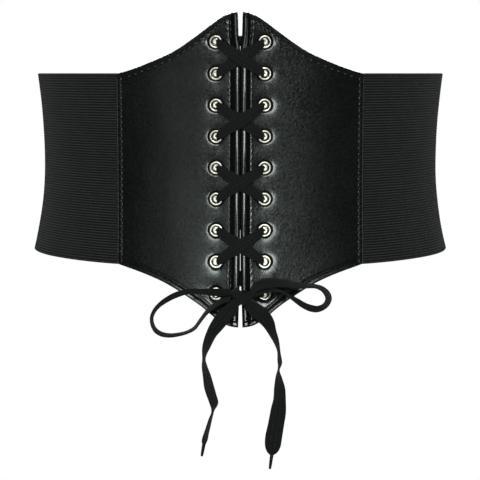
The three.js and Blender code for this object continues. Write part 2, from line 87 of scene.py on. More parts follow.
def smoothValue(rows, at):
    # value at a place of a table of (place, value), smooth between its rows
    if rows[0][0] > rows[-1][0]:
        rows = rows[::-1]
    if at <= rows[0][0]:
        return rows[0][1]
    if at >= rows[-1][0]:
        return rows[-1][1]
    high = next(index for index, row in enumerate(rows) if row[0] > at)

    def slope(index):
        before = rows[max(index - 1, 0)]
        after = rows[min(index + 1, len(rows) - 1)]
        return (after[1] - before[1]) / (after[0] - before[0])

    span = rows[high][0] - rows[high - 1][0]
    share = (at - rows[high - 1][0]) / span
    cube, square = share ** 3, share ** 2
    return (
        (2 * cube - 3 * square + 1) * rows[high - 1][1]
        + (cube - 2 * square + share) * span * slope(high - 1)
        + (3 * square - 2 * cube) * rows[high][1]
        + (cube - square) * span * slope(high)
    )


def ease(value, low, high):
    share = min(max((value - low) / (high - low), 0), 1)
    return share * share * (3 - 2 * share)


def hill(value, centre, reach):
    share = (value - centre) / reach
    return (1 - share * share) ** 2 if abs(share) < 1 else 0


def rolled(distance, width):
    # thickness share across a rolled edge: 0 at the edge, 1 once the roll is full
    if distance >= width:
        return 1
    short = 1 - max(distance, 0) / width
    return math.sqrt(1 - short ** 2.2)


def wave(value, pitch):
    return math.cos(2 * math.pi * value / pitch)


def pulsing(amount, value, pitch):
    # 1 at every stitch, and less by up to twice the amount between them
    return 1 - amount + amount * wave(value, pitch)


def roughly(x, y, seed):
    return noise.noise(Vector((x, y, seed)))


seeds = {"swell": 3.1, "drag": 7.7, "slack": 11, "closure": 21, "knot": 4.4, "lacing": 5.0, "knotBands": 30.0}


# The waist oval that every wall follows; angle 0 is the centre front

waist = {
    "level": -1.5,
    "halfWidth": 136.1,
    "halfDepth": 95,
    "flareHeight": 60,
    "flareAbove": 4.2,
    "flareBelow": 7.8,
    "depthShare": 0.7,
}


def ovalAt(height):
    away = (height - waist["level"]) / waist["flareHeight"]
    flare = waist["flareAbove"] if away > 0 else waist["flareBelow"]
    out = flare * away * away
    slope = 2 * flare * away / waist["flareHeight"]
    return waist["halfWidth"] + out, waist["halfDepth"] + out * waist["depthShare"], slope


def wallNormal(angle, height):
    a, b, slope = ovalAt(height)
    sine, cosine = math.sin(angle), math.cos(angle)
    upward = -slope * (sine * sine / a + waist["depthShare"] * cosine * cosine / b)
    return Vector((sine / a, -cosine / b, upward)).normalized()


def wallPoint(angle, height, outward=0):
    a, b = ovalAt(height)[:2]
    point = Vector((a * math.sin(angle), -b * math.cos(angle), height))
    return point + wallNormal(angle, height) * outward


def angleAcross(across, height):
    return math.asin(across / ovalAt(height)[0])


# Rows of eyelets, which the leather's wear and painted shade, the panels and the lacing all follow

eyelet = {
    "count": 9,
    "top": 77.2,
    "pitch": 19.75,
    "fromCentre": 15.4,
    "panelHole": 3.4,
    "sunk": -0.4,
    "steps": 40,
    "dishReach": 14,
    "pleat": 0.008,
    "pleats": 7,
    "pleatShift": 2.3,
    "pleatAt": (8.5, 3),
    "rimDip": 0.4,
    "rimDipAt": (4.45, 0.6),
}


def rowHeight(row):
    return eyelet["top"] - row * eyelet["pitch"]


sides = ((-1, "Left"), (1, "Right"))  # as seen in the photograph


# Grids and pieces

def gridSpots(bm, columns, rows, **more):
    # a new grid's verts, each with its column and row
    sheet = bmesh.ops.create_grid(bm, x_segments=columns, y_segments=rows, size=0.5, **more)["verts"]
    return [(vert, round((vert.co.x + 0.5) * columns), round((vert.co.y + 0.5) * rows)) for vert in sheet]


def closedWall(columns, rows, place, size=(1, 1)):
    # two sheets that meet all round; place gives a point for a column, a row and the outer or inner sheet
    bm = bmesh.new()
    uvLayer = bm.loops.layers.uv.new("surface")
    for isOuter in (True, False):
        faces = set()
        for vert, column, row in gridSpots(bm, columns, rows, calc_uvs=True):
            vert.co = place(column, row, isOuter)
            faces.update(vert.link_faces)
        if not isOuter:
            bmesh.ops.reverse_faces(bm, faces=list(faces))
    stretchSurface(bm, uvLayer, size)
    closeUp(bm)
    return bm


def stretchSurface(bm, uvLayer, size):
    # the surface map runs in metres, so a weave keeps its own pitch
    for face in bm.faces:
        for loop in face.loops:
            loop[uvLayer].uv.x *= size[0] * mm
            loop[uvLayer].uv.y *= size[1] * mm


def closeUp(bm):
    bmesh.ops.remove_doubles(bm, verts=bm.verts, dist=0.002)
    bmesh.ops.recalc_face_normals(bm, faces=bm.faces)


def turnedShape(outline, steps, isClosed=False):
    # spins rows of radius and height round the axis
    bm = bmesh.new()
    verts = [bm.verts.new((radius, 0, height)) for radius, height in outline]
    first = 0 if isClosed else 1
    edges = [bm.edges.new((verts[index - 1], verts[index])) for index in range(first, len(verts))]
    bmesh.ops.spin(bm, geom=verts + edges, cent=(0, 0, 0), axis=(0, 0, 1), angle=2 * math.pi,
                   steps=steps, use_merge=True)
    closeUp(bm)
    return bm


def standUp(bm, foot, way):
    turn = Vector((0, 0, 1)).rotation_difference(way)
    bm.transform(Matrix.Translation(foot) @ turn.to_matrix().to_4x4())


def addPiece(name, bm, material, slotName, *nodes):
    bmesh.ops.scale(bm, vec=(mm, mm, mm), verts=bm.verts)
    mesh = meshFrom(name, bm)
    mesh.polygons.foreach_set("use_smooth", [True] * len(mesh.polygons))
    mesh.materials.append(material)
    piece = addObject(name, mesh)
    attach(piece, "root")
    if nodes:
        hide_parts(*nodes)
    return piece


# Materials, with the effects that several of them share as node groups

def plug(tree, socket, value):
    if isinstance(value, bpy.types.NodeSocket):
        tree.links.new(value, socket)
    else:
        socket.default_value = value


def feed(tree, node, **values):
    # an underscore in a label stands for a space
    for label, value in values.items():
        plug(tree, node.inputs[label.replace("_", " ")], value)


def addNode(tree, kind, **values):
    node = tree.nodes.new("ShaderNode" + kind)
    feed(tree, node, **values)
    return node.outputs


def addMath(tree, operation, *values):
    node = tree.nodes.new("ShaderNodeMath")
    node.operation = operation
    for socket, value in zip(node.inputs, values):
        plug(tree, socket, value)
    return node.outputs[0]


def addNoise(tree, vector, scale, detail=2, rough=0.5, distortion=0):
    return addNode(tree, "TexNoise", Vector=vector, Scale=scale, Detail=detail, Roughness=rough,
                   Distortion=distortion)["Fac"]


def makeGroup(name, outputs, **inputs):
    # takes a vector and the numbers named, and gives out numbers only
    group = bpy.data.node_groups.new(name, "ShaderNodeTree")
    group.interface.new_socket("Vector", in_out="INPUT", socket_type="NodeSocketVector")
    for label, value in inputs.items():
        socket = group.interface.new_socket(label, in_out="INPUT", socket_type="NodeSocketFloat")
        socket.default_value = value
    for label in outputs:
        group.interface.new_socket(label, in_out="OUTPUT", socket_type="NodeSocketFloat")
    return group, group.nodes.new("NodeGroupInput").outputs, group.nodes.new("NodeGroupOutput")


grainCells = {"bendScale": 500, "bend": 0.0011, "flatFrom": 0.22, "soften": 0.15}
braidThreads = {"swing": 0.32, "level": 0.68}


def makeGrainGroup():
    # fine pebbled skin: flat cells with creases between them
    group, start, end = makeGroup("pebbledGrain", ["Height", "Crease"], Cells=900.0)
    bend = addNode(group, "TexNoise", Vector=start["Vector"], Scale=grainCells["bendScale"])
    shift = group.nodes.new("ShaderNodeVectorMath")
    shift.operation = "MULTIPLY_ADD"
    for socket, value in zip(shift.inputs, (bend["Color"], [grainCells["bend"]] * 3, start["Vector"])):
        plug(group, socket, value)
    cells = group.nodes.new("ShaderNodeTexVoronoi")
    cells.feature = "DISTANCE_TO_EDGE"
    feed(group, cells, Vector=shift.outputs[0], Scale=start["Cells"])
    flatFrom = grainCells["flatFrom"]
    flat = addMath(group, "SMOOTH_MIN", cells.outputs["Distance"], flatFrom, grainCells["soften"])
    height = addMath(group, "DIVIDE", flat, flatFrom)
    feed(group, end, Height=height, Crease=addMath(group, "SUBTRACT", 1.0, height))
    return group


def makeBraidGroup():
    # threads that run slantwise and turn back at each rib, as in a flat braid
    group, start, end = makeGroup(
        "braidedThread", ["Height", "Gap"], Along=1200.0, Ribs=500.0, Slant=1.2, Sharpness=1.5)
    place = addNode(group, "SeparateXYZ", Vector=start["Vector"])
    along = addMath(group, "MULTIPLY", place["X"], start["Along"])
    ribs = addMath(group, "MULTIPLY", place["Y"], start["Ribs"])
    zigzag = addMath(group, "PINGPONG", ribs, 1.0)
    slanted = addMath(group, "MULTIPLY_ADD", zigzag, start["Slant"], along)
    turn = addMath(group, "MULTIPLY", slanted, 2 * math.pi)
    sine = addMath(group, "SINE", turn)
    strand = addMath(group, "MULTIPLY_ADD", sine, braidThreads["swing"], braidThreads["level"])
    ridge = addMath(group, "MULTIPLY", addMath(group, "PINGPONG", ribs, 0.5), 2.0)
    height = addMath(group, "MULTIPLY", strand, addMath(group, "POWER", ridge, start["Sharpness"]))
    feed(group, end, Height=height, Gap=addMath(group, "SUBTRACT", 1.0, height))
    return group


def makeHandlingGroup():
    # soft uneven patches from handling and light dust
    group, start, end = makeGroup("handlingPatches", ["Patches"], Scale=25.0, Contrast=1.6)
    cloud = addNoise(group, start["Vector"], start["Scale"], detail=4, rough=0.6)
    centred = addMath(group, "SUBTRACT", cloud, 0.5)
    patches = addMath(group, "MULTIPLY_ADD", centred, start["Contrast"], 0.5)
    feed(group, end, Patches=addMath(group, "MINIMUM", addMath(group, "MAXIMUM", patches, 0.0), 1.0))
    return group


def makeReachGroup():
    # distance from the nearest eyelet's axis, seen from the front, and from the middle of the belt
    group, start, end = makeGroup("eyeletReach", ["Reach", "Middle"])
    place = addNode(group, "SeparateXYZ", Vector=start["Vector"])
    middle = addMath(group, "ABSOLUTE", place["X"])
    right = addMath(group, "SUBTRACT", middle, eyelet["fromCentre"] * mm)
    raised = addMath(group, "SUBTRACT", place["Z"], eyelet["top"] * mm)
    half = eyelet["pitch"] / 2 * mm
    up = addMath(group, "WRAP", raised, half, -half)
    square = addMath(group, "MULTIPLY_ADD", up, up, addMath(group, "MULTIPLY", right, right))
    feed(group, end, Reach=addMath(group, "SQRT", square), Middle=middle)
    return group


grainGroup = makeGrainGroup()
reachGroup = makeReachGroup()
braidGroup = makeBraidGroup()
handlingGroup = makeHandlingGroup()


def startMaterial(name, **fixed):
    material = bpy.data.materials.new(name)
    material.use_nodes = True
    tree = material.node_tree
    shader = tree.nodes["Principled BSDF"]
    feed(tree, shader, **fixed)
    return material, tree, shader, addNode(tree, "TexCoord")


def addGroup(tree, group, vector, **values):
    node = tree.nodes.new("ShaderNodeGroup")
    node.node_tree = group
    feed(tree, node, Vector=vector, **values)
    return node.outputs


def addPatches(tree, vector, finish):
    return addGroup(tree, handlingGroup, vector, Scale=finish["patchScale"],
                    Contrast=finish["patchContrast"])["Patches"]


def mixColour(tree, mask, low, high, blend="MIX"):
    node = tree.nodes.new("ShaderNodeMix")
    node.data_type = "RGBA"
    node.blend_type = blend
    plug(tree, node.inputs[0], mask)
    for socket, colour in zip(node.inputs[6:8], (low, high)):
        plug(tree, socket, (*colour, 1) if isinstance(colour, tuple) else colour)
    return node.outputs[2]


def mapRange(tree, value, low, high):
    return addNode(tree, "MapRange", Value=value, To_Min=low, To_Max=high)["Result"]


def fadeOut(tree, value, full, none):
    # 1 on the one side and 0 on the other, sloping between two distances
    return addNode(tree, "MapRange", Value=value, From_Min=none * mm, From_Max=full * mm)["Result"]


def bandMask(tree, value, inner, outer):
    # full only between two slopes
    return addMath(tree, "MULTIPLY", fadeOut(tree, value, *inner), fadeOut(tree, value, *outer))


def addBump(tree, height, depth, **more):
    return addNode(tree, "Bump", Height=height, Distance=depth * mm, **more)["Normal"]


leatherFinish = {
    "dark": (0.0055, 0.006, 0.0059),
    "light": (0.0095, 0.0105, 0.0103),
    "roughness": (0.2, 0.28),
    "patchScale": 28.0,
    "patchContrast": 2.2,
    "grainCells": 950.0,
    "grainDepth": 0.016,
    "creaseScale": 620.0,
    "creaseNoise": {"detail": 3, "rough": 0.6, "distortion": 0.3},
    "creaseDepth": 0.12,
    "creaseRough": 0.3,
    "grainRough": 0.16,
    "inwardFrom": 0.3,
    "lining": 0.2,
    "shine": 0.5,
    "wear": 3.2,
    "dull": 0.08,
    "mottle": 0.8,
    "polish": 0.1,
    "gloss": 0.9,
    "looseMost": 1.05,
    # millimetres where each mask is full and where it is gone
    "nose": (7.6, 9.6),
    "ring": (6, 11),
    "besideRings": (16.5, 11.5),
    "tip": (-80, -72),
    # where the leather's reflection is cut out as painted shade: round each flange's rim, and the stitched
    # channel
    "rimShadow": (5.25, 4.85),
    "channelInner": (4.2, 4.6),
    "channelOuter": (6.2, 5.8),
    "wornInner": (20, 8),
    "wornOuter": (26, 60),
}


def stretchedMask(tree, place, reach):
    # where the leather is drawn tight and rubbed smooth: the padded centre edges, round the eyelets, the tips
    finish = leatherFinish
    rings = addMath(tree, "MULTIPLY", fadeOut(tree, reach["Reach"], *finish["ring"]),
                    fadeOut(tree, reach["Middle"], *finish["besideRings"]))
    either = addMath(tree, "MAXIMUM", fadeOut(tree, reach["Middle"], *finish["nose"]), rings)
    return addMath(tree, "MAXIMUM", either, fadeOut(tree, place["Z"], *finish["tip"]))


def makeLeather():
    finish = leatherFinish
    material, tree, shader, coords = startMaterial("blackLeatherLook", Coat_Roughness=0.15)
    spot = coords["Object"]
    place = addNode(tree, "SeparateXYZ", Vector=spot)
    facing = addNode(tree, "SeparateXYZ", Vector=coords["Normal"])
    grain = addGroup(tree, grainGroup, spot, Cells=finish["grainCells"])
    patches = addPatches(tree, spot, finish)
    creases = addNoise(tree, spot, finish["creaseScale"], **finish["creaseNoise"])
    reach = addGroup(tree, reachGroup, spot)

    # the inner side and the strip at the back show none of the marks of the front
    plain = addMath(tree, "MAXIMUM", addMath(tree, "GREATER_THAN", facing["Y"], finish["inwardFrom"]),
                    addMath(tree, "GREATER_THAN", place["Y"], 0.0))
    tight = addMath(tree, "MULTIPLY", stretchedMask(tree, place, reach),
                    addMath(tree, "SUBTRACT", 1.0, plain))
    loose = addMath(tree, "MULTIPLY_ADD", tight, -1.0, finish["looseMost"])
    worn = bandMask(tree, place["X"], finish["wornInner"], finish["wornOuter"])
    # The leather round each flange's rim and down the stitched channel reflects nothing and has no coat:
    # painted shade in these grooves.
    besideChannel = addMath(tree, "MAXIMUM", fadeOut(tree, reach["Middle"], *finish["channelInner"]),
                            fadeOut(tree, reach["Middle"], *finish["channelOuter"]))
    rimShadow = fadeOut(tree, reach["Reach"], *finish["rimShadow"])
    unshaded = addMath(tree, "MAXIMUM", addMath(tree, "MULTIPLY", rimShadow, besideChannel), plain)

    base = addMath(tree, "SUBTRACT", mapRange(tree, patches, *finish["roughness"]), finish["creaseRough"] / 2)
    uneven = addMath(tree, "MULTIPLY_ADD", creases, finish["creaseRough"], base)
    lined = addMath(tree, "MULTIPLY_ADD", plain, finish["lining"], uneven)
    rough = addMath(tree, "MULTIPLY_ADD", grain["Crease"], finish["grainRough"], lined)
    mottled = addMath(tree, "MULTIPLY", addMath(tree, "SUBTRACT", creases, 0.5),
                      addMath(tree, "MULTIPLY_ADD", worn, finish["mottle"], 0.5))
    shine = addMath(tree, "MULTIPLY_ADD", worn, -finish["dull"], finish["shine"])
    creased = addMath(tree, "MULTIPLY", loose, addMath(tree, "MULTIPLY_ADD", worn, finish["wear"], 1.0))
    under = addBump(tree, creases, finish["creaseDepth"], Strength=creased)
    feed(
        tree,
        shader,
        Base_Color=mixColour(tree, patches, finish["dark"], finish["light"]),
        Roughness=addMath(tree, "MULTIPLY_ADD", tight, -finish["polish"], rough),
        Coat_Weight=addMath(tree, "MULTIPLY", addMath(tree, "MULTIPLY", tight, finish["gloss"]), unshaded),
        Specular_IOR_Level=addMath(tree, "MULTIPLY", addMath(tree, "ADD", mottled, shine), unshaded),
        Normal=addBump(tree, grain["Height"], finish["grainDepth"], Strength=loose, Normal=under),
    )
    return material


elasticFinish = {
    # the groove colour, far darker than the rib colour, is painted shade between the ribs
    "groove": (0.003, 0.0032, 0.0032),
    "rib": (0.092, 0.098, 0.095),
    "along": 1300.0,
    "ribs": 602.5,
    "slant": 0.6,
    "contrast": 1.4,
    "patchScale": 60.0,
    "patchContrast": 2.0,
    "patchShades": ((0.55, 0.55, 0.55), (1.3, 1.3, 1.3)),
    "patchStrength": 0.35,
    "roughness": (0.72, 0.95),
    "relief": 0.12,
}


def makeElastic():
    finish = elasticFinish
    material, tree, shader, coords = startMaterial(
        "ribbedElastic", Sheen_Weight=0.08, Sheen_Roughness=0.5, Specular_IOR_Level=0.3)
    weave = addGroup(tree, braidGroup, coords["UV"], Along=finish["along"], Ribs=finish["ribs"],
                     Slant=finish["slant"])
    # grooves between the ribs are coloured far darker: painted shade
    raised = addMath(tree, "POWER", weave["Height"], finish["contrast"])
    ribsAndGrooveShade = mixColour(tree, raised, finish["groove"], finish["rib"])
    dust = mixColour(tree, addPatches(tree, coords["Object"], finish), *finish["patchShades"])
    feed(
        tree,
        shader,
        Base_Color=mixColour(tree, finish["patchStrength"], ribsAndGrooveShade, dust, blend="MULTIPLY"),
        Roughness=mapRange(tree, weave["Gap"], *finish["roughness"]),
        Normal=addBump(tree, weave["Height"], finish["relief"]),
    )
    return material


laceFinish = {
    "gap": (0.0035, 0.0035, 0.0037),
    "strand": (0.023, 0.024, 0.024),
    "along": 620.0,
    "ribs": 760.0,
    "slant": 0.9,
    "sharpness": 0.45,
    "patchScale": 260.0,
    "patchContrast": 2.6,
    "patchStrength": (0.45, 1.25),
    "roughness": (0.8, 0.96),
    "relief": 0.18,
}


def makeLace():
    finish = laceFinish
    material, tree, shader, coords = startMaterial(
        "flatBraidedLace", Sheen_Weight=0.1, Sheen_Roughness=0.5, Specular_IOR_Level=0.3)
    braid = addGroup(tree, braidGroup, coords["UV"], Along=finish["along"], Ribs=finish["ribs"],
                     Slant=finish["slant"], Sharpness=finish["sharpness"])
    patches = addPatches(tree, coords["Object"], finish)
    blend = addMath(tree, "MULTIPLY", braid["Height"], mapRange(tree, patches, *finish["patchStrength"]))
    feed(
        tree,
        shader,
        Base_Color=mixColour(tree, blend, finish["gap"], finish["strand"]),
        Roughness=mapRange(tree, patches, *finish["roughness"]),
        Normal=addBump(tree, braid["Height"], finish["relief"]),
    )
    return material


# Colours and roughness that drift from patch to patch, over a fine relief
plainFinishes = {
    "threadWithPaintedSheen": {
        # the thread is black; this lighter grey is painted sheen over its own dark tone
        "shades": ((0.06, 0.06, 0.062), (0.17, 0.17, 0.175)),
        "patchScale": 700.0,
        "patchContrast": 1.5,
        "roughness": (0.3, 0.55),
        "reliefScale": 5000.0,
        "reliefDetail": (2, 0.5),
        "relief": 0.06,
    },
    "brightNickel": {
        "shades": ((0.97, 0.86, 0.75), (1.0, 0.91, 0.83)),
        "patchScale": 400.0,
        "patchContrast": 2.4,
        "roughness": (0.27, 0.33),
        "reliefScale": 1500.0,
        "reliefDetail": (3, 0.7),
        "relief": 0.015,
        # painted shade: darker metal in the groove of the flange and under its edge, with the radii where it
        # is full and gone
        "paintedShade": (0.02, 0.02, 0.018),
        "grooveInner": (2.25, 2.1),
        "grooveOuter": (2.8, 2.92),
        "edge": (4.2, 4.1),
    },
    "blackTipFilm": {
        "shades": ((0.006, 0.006, 0.006), (0.016, 0.016, 0.016)),
        "patchScale": 500.0,
        "patchContrast": 2.0,
        "roughness": (0.25, 0.4),
        "reliefScale": 1800.0,
        "reliefDetail": (2, 0.5),
        "relief": 0.03,
    },
}


def addPaintedShade(tree, unshaded, spot, finish):
    # darkens the metal in the flange's groove and under its edge: painted shade
    reach = addGroup(tree, reachGroup, spot)["Reach"]
    inGroove = bandMask(tree, reach, finish["grooveOuter"], finish["grooveInner"])
    shadeMask = addMath(tree, "MAXIMUM", inGroove, fadeOut(tree, reach, *finish["edge"]))
    return mixColour(tree, shadeMask, unshaded, finish["paintedShade"])


def makePlain(name, **fixed):
    finish = plainFinishes[name]
    material, tree, shader, coords = startMaterial(name, **fixed)
    spot = coords["Object"]
    patches = addPatches(tree, spot, finish)
    colour = mixColour(tree, patches, *finish["shades"])
    if "paintedShade" in finish:
        colour = addPaintedShade(tree, colour, spot, finish)
    relief = addNoise(tree, spot, finish["reliefScale"], *finish["reliefDetail"])
    feed(
        tree,
        shader,
        Base_Color=colour,
        Roughness=mapRange(tree, patches, *finish["roughness"]),
        Normal=addBump(tree, relief, finish["relief"]),
    )
    return material


leather = makeLeather()
ribbed = makeElastic()
braided = makeLace()
thread = makePlain("threadWithPaintedSheen", Specular_IOR_Level=0.6)
nickel = makePlain("brightNickel", Metallic=1.0)
tipFilm = makePlain("blackTipFilm")
print("materials made")


# The flat lace: strips that follow spots with a point, a width direction, a width and a thickness

lace = {
    "thickness": 1.05,
    "bunched": 0.75,
    "bunching": 1.5,
    "fullWidth": 9.6,
    "sides": 24,
    "squareness": 2.8,
    "pleat": 0.3,
    "pleatWaves": 2.6,
    "pleatShift": 0.4,
    "ripple": 0.12,
    "rippleLength": 6,
    "rippleAcross": 1.3,
}


def tangentAt(spots, index):
    before = spots[max(index - 1, 0)]["point"]
    after = spots[min(index + 1, len(spots) - 1)]["point"]
    return (after - before).normalized()


def squared(spots):
    for index, spot in enumerate(spots):
        tangent = tangentAt(spots, index)
        spot["across"] = (spot["across"] - tangent * spot["across"].dot(tangent)).normalized()
    return spots


def refined(spots, steps):
    # more spots on one smooth curve through the given ones
    made = []
    last = len(spots) - 1
    for index in range(last):
        near = [spots[min(max(index + step, 0), last)] for step in (-1, 0, 1, 2)]
        for step in range(steps):
            t = step / steps
            weights = (
                -0.5 * t + t * t - 0.5 * t ** 3,
                1 - 2.5 * t * t + 1.5 * t ** 3,
                0.5 * t + 2 * t * t - 1.5 * t ** 3,
                -0.5 * t * t + 0.5 * t ** 3,
            )
            made.append({
                "point": sum((w * s["point"] for w, s in zip(weights, near)), Vector()),
                "across": sum((w * s["across"] for w, s in zip(weights, near)), Vector()),
                "width": sum(w * s["width"] for w, s in zip(weights, near)),
            })
    made.append(dict(spots[-1]))
    return squared(made)


def laceStrip(bm, spots, seed):
    # wraps a grid round the spots: its columns are the rings, its rows go round the flat section
    uvLayer = bm.loops.layers.uv.verify()
    rings = len(spots) - 1
    sheet = bmesh.ops.create_grid(
        bm, x_segments=rings, y_segments=lace["sides"], size=0.5, calc_uvs=True)["verts"]
    lengths = [0.0]
    for before, after in zip(spots, spots[1:]):
        lengths.append(lengths[-1] + (after["point"] - before["point"]).length)
    facings = [tangentAt(spots, index).cross(spot["across"]) for index, spot in enumerate(spots)]
    for vert in sheet:
        ring = round((vert.co.x + 0.5) * rings)
        turn = 2 * math.pi * (vert.co.y + 0.5)
        spot = spots[ring]
        narrow = max(0, 1 - spot["width"] / lace["fullWidth"])
        thickness = lace["thickness"] + lace["bunched"] * narrow ** lace["bunching"]
        cosine, sine = math.cos(turn), math.sin(turn)
        power = 2 / lace["squareness"]
        sideways = math.copysign(abs(cosine) ** power, cosine)
        through = math.copysign(abs(sine) ** power, sine)
        fold = math.pi * (lace["pleatWaves"] * sideways + lace["pleatShift"])
        rough = roughly(lengths[ring] / lace["rippleLength"], sideways * lace["rippleAcross"], seed)
        lift = lace["pleat"] * narrow * math.cos(fold) + lace["ripple"] * rough
        vert.co = (
            spot["point"]
            + spot["across"] * (sideways * spot["width"] / 2)
            + facings[ring] * (through * thickness / 2 + lift)
        )
    stretchSurface(bm, uvLayer, (lengths[-1], 2 * lace["fullWidth"]))
    bmesh.ops.remove_doubles(bm, verts=sheet, dist=0.002)
    bmesh.ops.holes_fill(bm, edges=[edge for edge in bm.edges if edge.is_boundary], sides=0)
    bmesh.ops.recalc_face_normals(bm, faces=bm.faces)
    return lengths[-1]


def routeSpots(route):
    # turn tips the flat lace from facing the front, 0, to edge-on, 90
    spots = [{"point": Vector(row[:3]), "width": row[3]} for row in route]
    for index, spot in enumerate(spots):
        tangent = tangentAt(spots, index)
        front = Vector((0, -1, 0))
        front = (front - tangent * front.dot(tangent)).normalized()
        turn = math.radians(route[index][4])
        spot["across"] = tangent.cross(front) * math.cos(turn) + front * math.sin(turn)
    return squared(spots)


# Free ends of the lace: x, y, z, width, turn down each route, two spots on a line

bow = {
    "steps": 5,
    "tipSteps": 24,
    "leftLoop": [
        (-5.8, -110.8, -79.6, 6, 64), (-10, -111.8, -78.7, 8, 50),
        (-17.1, -112.8, -78.6, 9.4, 53), (-25.2, -112.8, -78.2, 9.4, 62),
        (-33.4, -112.8, -78.3, 9.4, 63), (-40.3, -112.8, -80.4, 9.4, 62),
        (-46.8, -113, -83.8, 9.4, 66), (-51.9, -113, -87.9, 9.4, 72),
        (-55, -113.5, -92.7, 9.4, 78), (-55.4, -113.5, -97.6, 9.4, 82),
        (-53.4, -113.5, -102.2, 9.4, 82), (-49.7, -113.5, -104.9, 9.4, 83),
        (-44.7, -113.5, -105.8, 9.4, 84), (-39.1, -113.5, -105.3, 9.4, 86),
        (-33, -113, -103.8, 9.4, 87), (-28.7, -113, -101.2, 9.4, 84),
        (-25.3, -113, -96.8, 9.4, 82), (-21.2, -112.5, -91.5, 9, 80),
        (-16.5, -112, -87.2, 8, 74), (-11.4, -111.5, -84.4, 6.5, 70),
        (-6.2, -110.8, -83, 5, 66),
    ],
    "rightLoop": [
        (7.4, -111, -78.6, 5.5, 50), (10.4, -112.2, -75.4, 7.5, 52),
        (14.6, -113, -73.1, 9.4, 56), (20.5, -113.2, -72.5, 9.4, 60),
        (28, -113.2, -73, 9.4, 66), (35.5, -113.2, -74.2, 9.4, 72),
        (42.4, -113.2, -74.6, 9.4, 81), (47.3, -113.2, -74.9, 9.4, 82),
        (51.5, -113.2, -76.6, 9.4, 76), (54.4, -113.5, -79.6, 9.4, 67),
        (55.1, -113.5, -83.3, 9.4, 61), (53, -113.5, -87, 9.4, 60),
        (48.6, -113.5, -89.1, 9.4, 57), (44.3, -113.5, -88.7, 9.4, 57),
        (39.9, -113.5, -86.8, 9.4, 61), (35.5, -113.5, -84, 9.4, 65),
        (31.1, -113, -81.1, 9.4, 72), (26.1, -112.5, -78.4, 9, 84),
        (20.5, -112.2, -77, 8.4, 104), (14.4, -111.8, -77.5, 7.4, 114),
        (8.6, -110.8, -80.4, 5.2, 116),
    ],
    "leftTail": [
        (-2.7, -110.8, -87, 6.5, 10), (-6.1, -111.8, -90, 8.6, 6),
        (-10.2, -112.5, -94, 9.4, 8), (-14.4, -113, -99.4, 9.4, 20),
        (-18.2, -113.5, -105.2, 9.4, 42), (-21.1, -113.5, -112.6, 9.2, 55),
        (-22.8, -113.5, -120.6, 9, 79), (-22.6, -113.5, -125.6, 9.2, 72),
        (-21.1, -113.5, -131.7, 9.4, 62), (-19.7, -113.5, -138.6, 9.4, 53),
        (-17.7, -113.5, -145.1, 9.4, 56), (-16.4, -113.5, -149.8, 9.4, 60),
        (-17.3, -113.5, -154.4, 9, 80), (-18.8, -113.5, -159, 9, 76),
        (-20.3, -113.5, -164.3, 9, 72), (-21.6, -113.5, -168.8, 8.4, 67),
        (-22.5, -113.5, -173, 6.4, 56), (-23, -113.5, -175.4, 2.4, 45),
    ],
    "rightTail": [
        (4.6, -110.8, -86.4, 6.5, -10), (8.8, -111.8, -89.4, 8.8, -6),
        (13.6, -112.5, -93.2, 9.6, -8), (17.4, -113, -97.9, 9.6, -30),
        (19.8, -113.5, -103.4, 9.4, -52), (22.4, -113.5, -109.6, 9.2, -66),
        (24.2, -113.5, -116.4, 9, -80), (24.8, -113.5, -122.7, 9, -74),
        (24.1, -113.5, -127.5, 8.6, -88), (24.3, -113.5, -132.4, 8.8, -66),
        (24.8, -113.5, -139.3, 9.4, -44), (24.7, -113.5, -147.6, 9.8, -36),
        (23.8, -113.5, -155.3, 10, -10), (22.5, -113.5, -163, 10.2, 0),
        (21.1, -113.5, -170.7, 10.7, 0), (20.5, -113.5, -176.4, 10, 0),
        (20.1, -113.5, -180.2, 7, 0), (19.9, -113.5, -182.4, 2.4, 0),
    ],
    "leftTipEnd": (-24.4, -113.5, -183.2),
    "rightTipEnd": (18.7, -113.5, -191.4),
    "laceWidth": 9.4,
}

# Radius of a tip at shares of its length: a crimped sleeve with a blunt point
tipOutline = [
    (0, 0.02), (0.9, 0.0), (1.12, 0.02), (1.17, 0.06), (1.08, 0.1), (1.05, 0.3), (1.08, 0.33),
    (1.02, 0.36), (0.98, 0.6), (1.0, 0.63), (0.94, 0.66), (0.82, 0.92), (0.66, 0.98), (0.4, 1.0), (0, 1.0),
]


def makeTip(side, tailRow, end):
    start = Vector(tailRow[:3])
    way = Vector(end) - start
    bm = turnedShape([(radius, share * way.length) for radius, share in tipOutline], bow["tipSteps"])
    standUp(bm, start, way)
    return addPiece(f"laceTip{side}", bm, tipFilm, "tip", f"lace_tip_{side.lower()}")


def makeFreeEnd(side, kind):
    route = bow[side.lower() + kind]
    spots = refined(routeSpots(route), bow["steps"])
    bm = bmesh.new()
    length = laceStrip(bm, spots, len(side) + len(kind))
    piece = addPiece(f"bow{kind}{side}", bm, braided, "lace", f"bow_{kind.lower()}_{side.lower()}")
    print(f"bow {kind.lower()} {side.lower()}: {length:.1f} mm")
    return piece


for side in ("Left", "Right"):
    makeFreeEnd(side, "Loop")
    tail = bow[side.lower() + "Tail"]
    tip = makeTip(side, tail[-1], bow[side.lower() + "TipEnd"])
    makeFreeEnd(side, "Tail")
print("bow loops, tails and tips made")


# Eyelets: a rolled flange on the face, a barrel through the panel and a curled edge behind it

